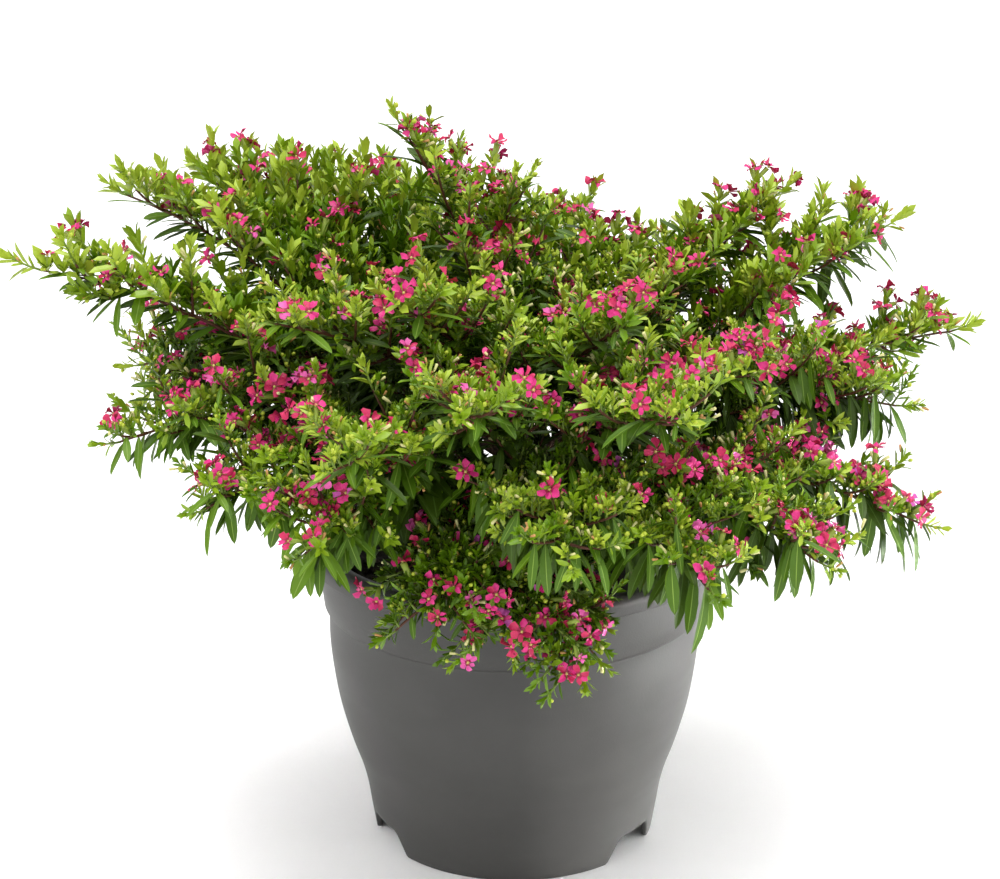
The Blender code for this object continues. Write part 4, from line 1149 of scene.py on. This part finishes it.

# Tender leaves, thin and a little glossy. Six plain tones are dealt out shoot by shoot: lime and
# bright for the sprays in painted light, shaded and deep for those in painted shade
YOUNG_FINISHES = (
    ("young_leaf_lime", "#a4ba36", 0.35, 1.43), ("young_leaf_bright", "#86a41d", 0.35, 1.43),
    ("young_leaf_fresh", "#688d0c", 0.37, 1.42), ("young_leaf_green", "#4c6c05", 0.40, 1.40),
    ("young_leaf_shaded", "#425808", 0.44, 1.38), ("young_leaf_deep", "#33460b", 0.46, 1.38),
)
young_finishes = skinned(YOUNG_FINISHES, 1.2, 0.35)
YOUNG_SECTORS = ("right", "back_right", "back_left", "left", "front_left", "front_right")
sector = np.round(np.arctan2(young_feet[:, 1], young_feet[:, 0]) / math.tau * 6).astype(int) % 6
young_pieces = []
for number, name in enumerate(YOUNG_SECTORS):
    chosen = sector == number
    piece = put_mesh("young_leaves_" + name, young_finishes,
                     *copies(young_points[chosen], young_faces),
                     np.repeat(young_tone[chosen], len(young_faces[1])))
    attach(piece, "root")
    young_pieces.append(piece)


# Flowers: six crinkled petals, narrow at their foot, spread round the mouth of a short green tube
# with a straw-yellow eye. They stand in the leaf axils near the shoots' tips, facing up and out.

PETALS = 6
PETAL_LENGTH = 0.0049
FLOWER_SHARE = 0.190
MORE_FLOWERS_FROM = 0.150
MORE_FLOWERS_OVER = 0.120
TRAIL_BEND = 0.158
LOW_FRONT = (LIP_TOP + 0.010, 0.212)
LOW_FRONT_MIDDLE = -0.010
LOW_FRONT_HALF_WIDTH = 0.085
bloom = np.random.default_rng(36)
# Flowers open in drifts: three waves across the crown, some 60 to 80 mm long, set how many
drifts = np.array(((70.0, 35.0, 25.0), (-30.0, 60.0, 55.0), (45.0, -50.0, 75.0)))
tip_x, tip_y, _ = uprights[:, -1].T
drift = np.sin(uprights[:, -1] @ drifts.T + (0.0, 2.0, 4.0)).sum(1)
trailing = trails[upright_owner]
# There are more flowers the higher and the farther right a shoot stands. There are few low down
# in the middle of the front, and on the trailing shoots above the bend at the pot's lip
high = np.clip((tops - MORE_FLOWERS_FROM) / MORE_FLOWERS_OVER, 0.0, 1.0)
sunny = np.select([trailing & (tops > TRAIL_BEND), trailing, in_front[upright_owner]],
                  [0.30, 0.90, 0.62], 0.84 + 0.34 * high)
sunny = sunny * (1.0 + 1.2 * tip_x)
under = (tip_y < 0.0) & (tops > LOW_FRONT[0]) & (tops < LOW_FRONT[1]) & ~trailing
shaded = 0.85 * np.exp(-((tip_x - LOW_FRONT_MIDDLE) / LOW_FRONT_HALF_WIDTH) ** 4)
sunny = sunny * np.where(under, 1.0 - shaded, 1.0)
chance = FLOWER_SHARE * np.clip(1.0 + 0.3 * drift, 0.45, 1.6) * sunny
in_bloom = np.flatnonzero((lit > 0.62) & (bloom.uniform(0, 1, len(lit)) < chance))
each = bloom.choice((1, 2, 3), len(in_bloom), p=(0.62, 0.30, 0.08))
which, number = dealt(each)
share = bloom.uniform(0.45, 0.97, len(which))
foot, forward, across, above = places_on(uprights, in_bloom[which], share)
spin = bloom.uniform(0, math.tau, len(in_bloom))[which] + number * 2.1
radial = turned(across, above, spin)
outward = unit(foot - HEART)
facing = unit(radial * 0.8 + outward * 0.7 + UP * 0.3 + forward * 0.3)
mouth = foot + facing * bloom.uniform(0.0055, 0.0090, len(which))[:, None]
keep = clear_of_pot(mouth + facing * 0.004) & in_box(mouth, 0.0)
foot, facing, mouth = foot[keep], facing[keep], mouth[keep]

# A petal is a grid of four rows by three columns, crinkled by a sine that runs across and along it
PETAL_ROWS = np.array((0.10, 0.27, 0.60, 0.88))
PETAL_COLUMNS = np.array((-1.0, 0.0, 1.0))
u, v = np.meshgrid(PETAL_ROWS, PETAL_COLUMNS, indexing="ij")
petal_half = 0.280 * np.sin(math.pi * u ** 1.45) ** 0.85 + 0.040
flower_shapes = []
for seed in range(40, 54):
    draw = np.random.default_rng(seed)
    blades = []
    for number in range(PETALS):
        size = draw.uniform(0.72, 1.10) * (1.08 if number in (0, 1) else 1.0)
        lift, roll, fold = draw.normal(0.34, 0.24), draw.normal(0.0, 0.45), draw.normal(0.2, 0.6)
        y = v * petal_half * draw.uniform(0.72, 1.18, u.shape)
        crinkle = 0.13 * np.sin(9 * u + 4 * v + 2 * number) * u
        z = 0.12 + lift * u - 0.22 * u * u + roll * y + fold * np.abs(y) + crinkle
        grid = np.stack((0.08 + 0.92 * u * size, y * size, z), -1).reshape(-1, 3)
        tip = grid[-2] + (0.09 * size, 0.0, -0.04)
        blade = np.concatenate((grid, [(0.05, 0.0, 0.08)], [tip]))
        turn = math.tau * number / PETALS + draw.normal(0.0, 0.10)
        spin = np.array(((math.cos(turn), math.sin(turn), 0), (-math.sin(turn), math.cos(turn), 0),
                         (0, 0, 1)))
        blades.append(blade @ spin)
    flower_shapes.append(blades)
flower_shapes = np.array(flower_shapes)[..., [2, 0, 1]]
*petal_faces, _ = open_faces(len(PETAL_ROWS), len(PETAL_COLUMNS))
_, *flower_faces = copies(flower_shapes[0], petal_faces)
flower_shapes = flower_shapes.reshape(len(flower_shapes), -1, 3)
# The two faces nearest the foot on either side of a petal are its throat, painted a deeper
# crimson as shade
throat = np.zeros(len(petal_faces[1]), bool)
throat[:2] = throat[-4:-2] = True
throat = np.tile(throat, PETALS)
scale = PETAL_LENGTH * bloom.uniform(0.84, 1.14, len(foot))
petal_points = set_out(flower_shapes[bloom.integers(0, len(flower_shapes), len(foot))],
                       mouth, facing, sides_of(facing)[0], scale)
# Each flower is dealt a tone, and about three petals in ten are switched between hot pink and
# crimson; the crimson stands in as painted shade
flower_tone = bloom.choice((0, 1, 2, 3), len(foot), p=(0.57, 0.27, 0.13, 0.03))
petal_tone = np.where(bloom.uniform(0, 1, (len(foot), PETALS)) < 0.30,
                      1 - flower_tone[:, None] % 2, flower_tone[:, None])
petal_tone = np.repeat(petal_tone, len(petal_faces[1]), 1)

# Petals: thin, satiny and crinkled, hot pink to crimson, a few more magenta; the crimson and the
# deeper throat are painted shade
PETAL_FINISHES = (
    ("petal_hot_pink", "#d52a7c", 0.46), ("petal_crimson", "#c42357", 0.46),
    ("petal_rose", "#dc58a2", 0.48), ("petal_magenta", "#c452a8", 0.48),
    ("petal_throat", "#a01648", 0.52),
)
petals = put_mesh("petals", skinned(PETAL_FINISHES, 0.9, 0.8),
                  *copies(petal_points, flower_faces),
                  np.where(throat[None], 4, petal_tone).ravel())
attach(petals, "root")


# Calyx tubes: little tubes that widen to their mouth, green under each open flower, and on their
# own as buds and spent flowers. Round buds are yellow-green, long ones cream, spent ones tan.

TUBE_SIDES = 5
EYE_SIZE = 0.0012
BUDS_EACH = 2.0
BUDS_IN_SHADE = 0.3
BUD_REACH = 0.006


def tube_shape(profile):
    """A closed turned shape along +X from a profile of (distance, radius), both over its length."""
    profile = np.array(profile)
    angle = np.arange(TUBE_SIDES) * math.tau / TUBE_SIDES
    x = np.repeat(profile[:, :1], TUBE_SIDES, 1)
    y, z = profile[:, 1:] * np.cos(angle), profile[:, 1:] * np.sin(angle)
    grid = np.stack((x, y, z), -1).reshape(-1, 3)
    return np.concatenate((grid, [(profile[0, 0], 0.0, 0.0)], [(profile[-1, 0], 0.0, 0.0)]))


def turned_copies(shape, foot, along, scale):
    """Copies of a turned shape, with their faces."""
    points = set_out(shape, foot, along, sides_of(unit(along))[1], scale)
    return copies(points, closed_faces((len(shape) - 2) // TUBE_SIDES, TUBE_SIDES))


open_tube = tube_shape(((0.0, 0.10), (0.20, 0.14), (0.97, 0.17)))
reach = np.linalg.norm(mouth - foot, axis=1)
eye = tube_shape(((0.0, 0.40), (0.5, 0.60), (0.9, 0.30)))
tube_parts = [(*turned_copies(open_tube, foot, mouth - foot, reach), 0),
              (*turned_copies(eye, mouth, facing, np.full(len(foot), EYE_SIZE)), 1)]

# Buds stand close to their shoot, all along its outer half, and fewer on the trailing shoots
buds_each = np.where(lit > 0.6, BUDS_EACH, BUDS_IN_SHADE) * np.where(trailing, 0.5, 1.0)
bud_counts = bloom.poisson(buds_each)
owner, _ = dealt(bud_counts)
share = bloom.uniform(0.45, 0.99, len(owner))
bud_foot, forward, across, above = places_on(uprights, owner, share)
radial = turned(across, above, bloom.uniform(0, math.tau, len(owner)))
bud_way = unit(radial + forward * bloom.uniform(0.5, 1.3, (len(owner), 1)) + UP * 0.2)
bud_size = bloom.uniform(0.0019, 0.0030, len(owner))
bud_tip = bud_foot + bud_way * BUD_REACH
keep = clear_of_pot(bud_tip) & in_box(bud_tip)
bud_stalk = bloom.uniform(0.0012, 0.0042, (len(owner), 1))
bud_foot = (bud_foot + bud_way * bud_stalk)[keep]
bud_way, bud_size = bud_way[keep], bud_size[keep]
kind = bloom.choice(3, len(bud_foot), p=(0.62, 0.20, 0.18))
round_bud = tube_shape(((0.26, 0.34), (0.68, 0.34)))
round_bud[-2:, 0] = 0.0, 1.0
long_bud = tube_shape(((0.0, 0.09), (0.35, 0.15), (0.98, 0.17)))
BUD_SORTS = (
    # shape, size over a closed bud's, finish
    (round_bud, 1.0, 2), (long_bud, 1.6, 3), (long_bud, 1.2, 4),
)
bud_parts = []
for sort, (shape, grownup, finish) in enumerate(BUD_SORTS):
    mine = kind == sort
    buds = turned_copies(shape, bud_foot[mine], bud_way[mine], bud_size[mine] * grownup)
    bud_parts.append((*buds, finish))

# Calyx tubes are thin-skinned and slightly downy; the spent ones have dried to a papery tan
CALYX_FINISHES = (
    ("calyx_green", "#93a942", 0.50), ("flower_eye", "#c9b968", 0.50),
    ("bud_yellow_green", "#b2c03a", 0.45), ("calyx_cream", "#d3cf8e", 0.50),
    ("calyx_spent", "#bb8a52", 0.62),
)
calyx_finishes = skinned(CALYX_FINISHES, 0.8, 0.4)
calyx_pieces = []
for name, parts in (("flower_tubes", tube_parts), ("buds", bud_parts)):
    piece = put_mesh(name, calyx_finishes, *join(parts))
    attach(piece, "root")
    calyx_pieces.append(piece)


# Together the leaves, twigs, flowers and buds stand for the source's masses of foliage, each of
# which they all replace. The growth was kept within the box of the solids, with a little slack.

masses = [shoot.name + "_foliage" for shoot in shoots]
for piece in (twig_piece, grown_leaves, hem_leaves, *young_pieces, petals, *calyx_pieces):
    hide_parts(*masses)
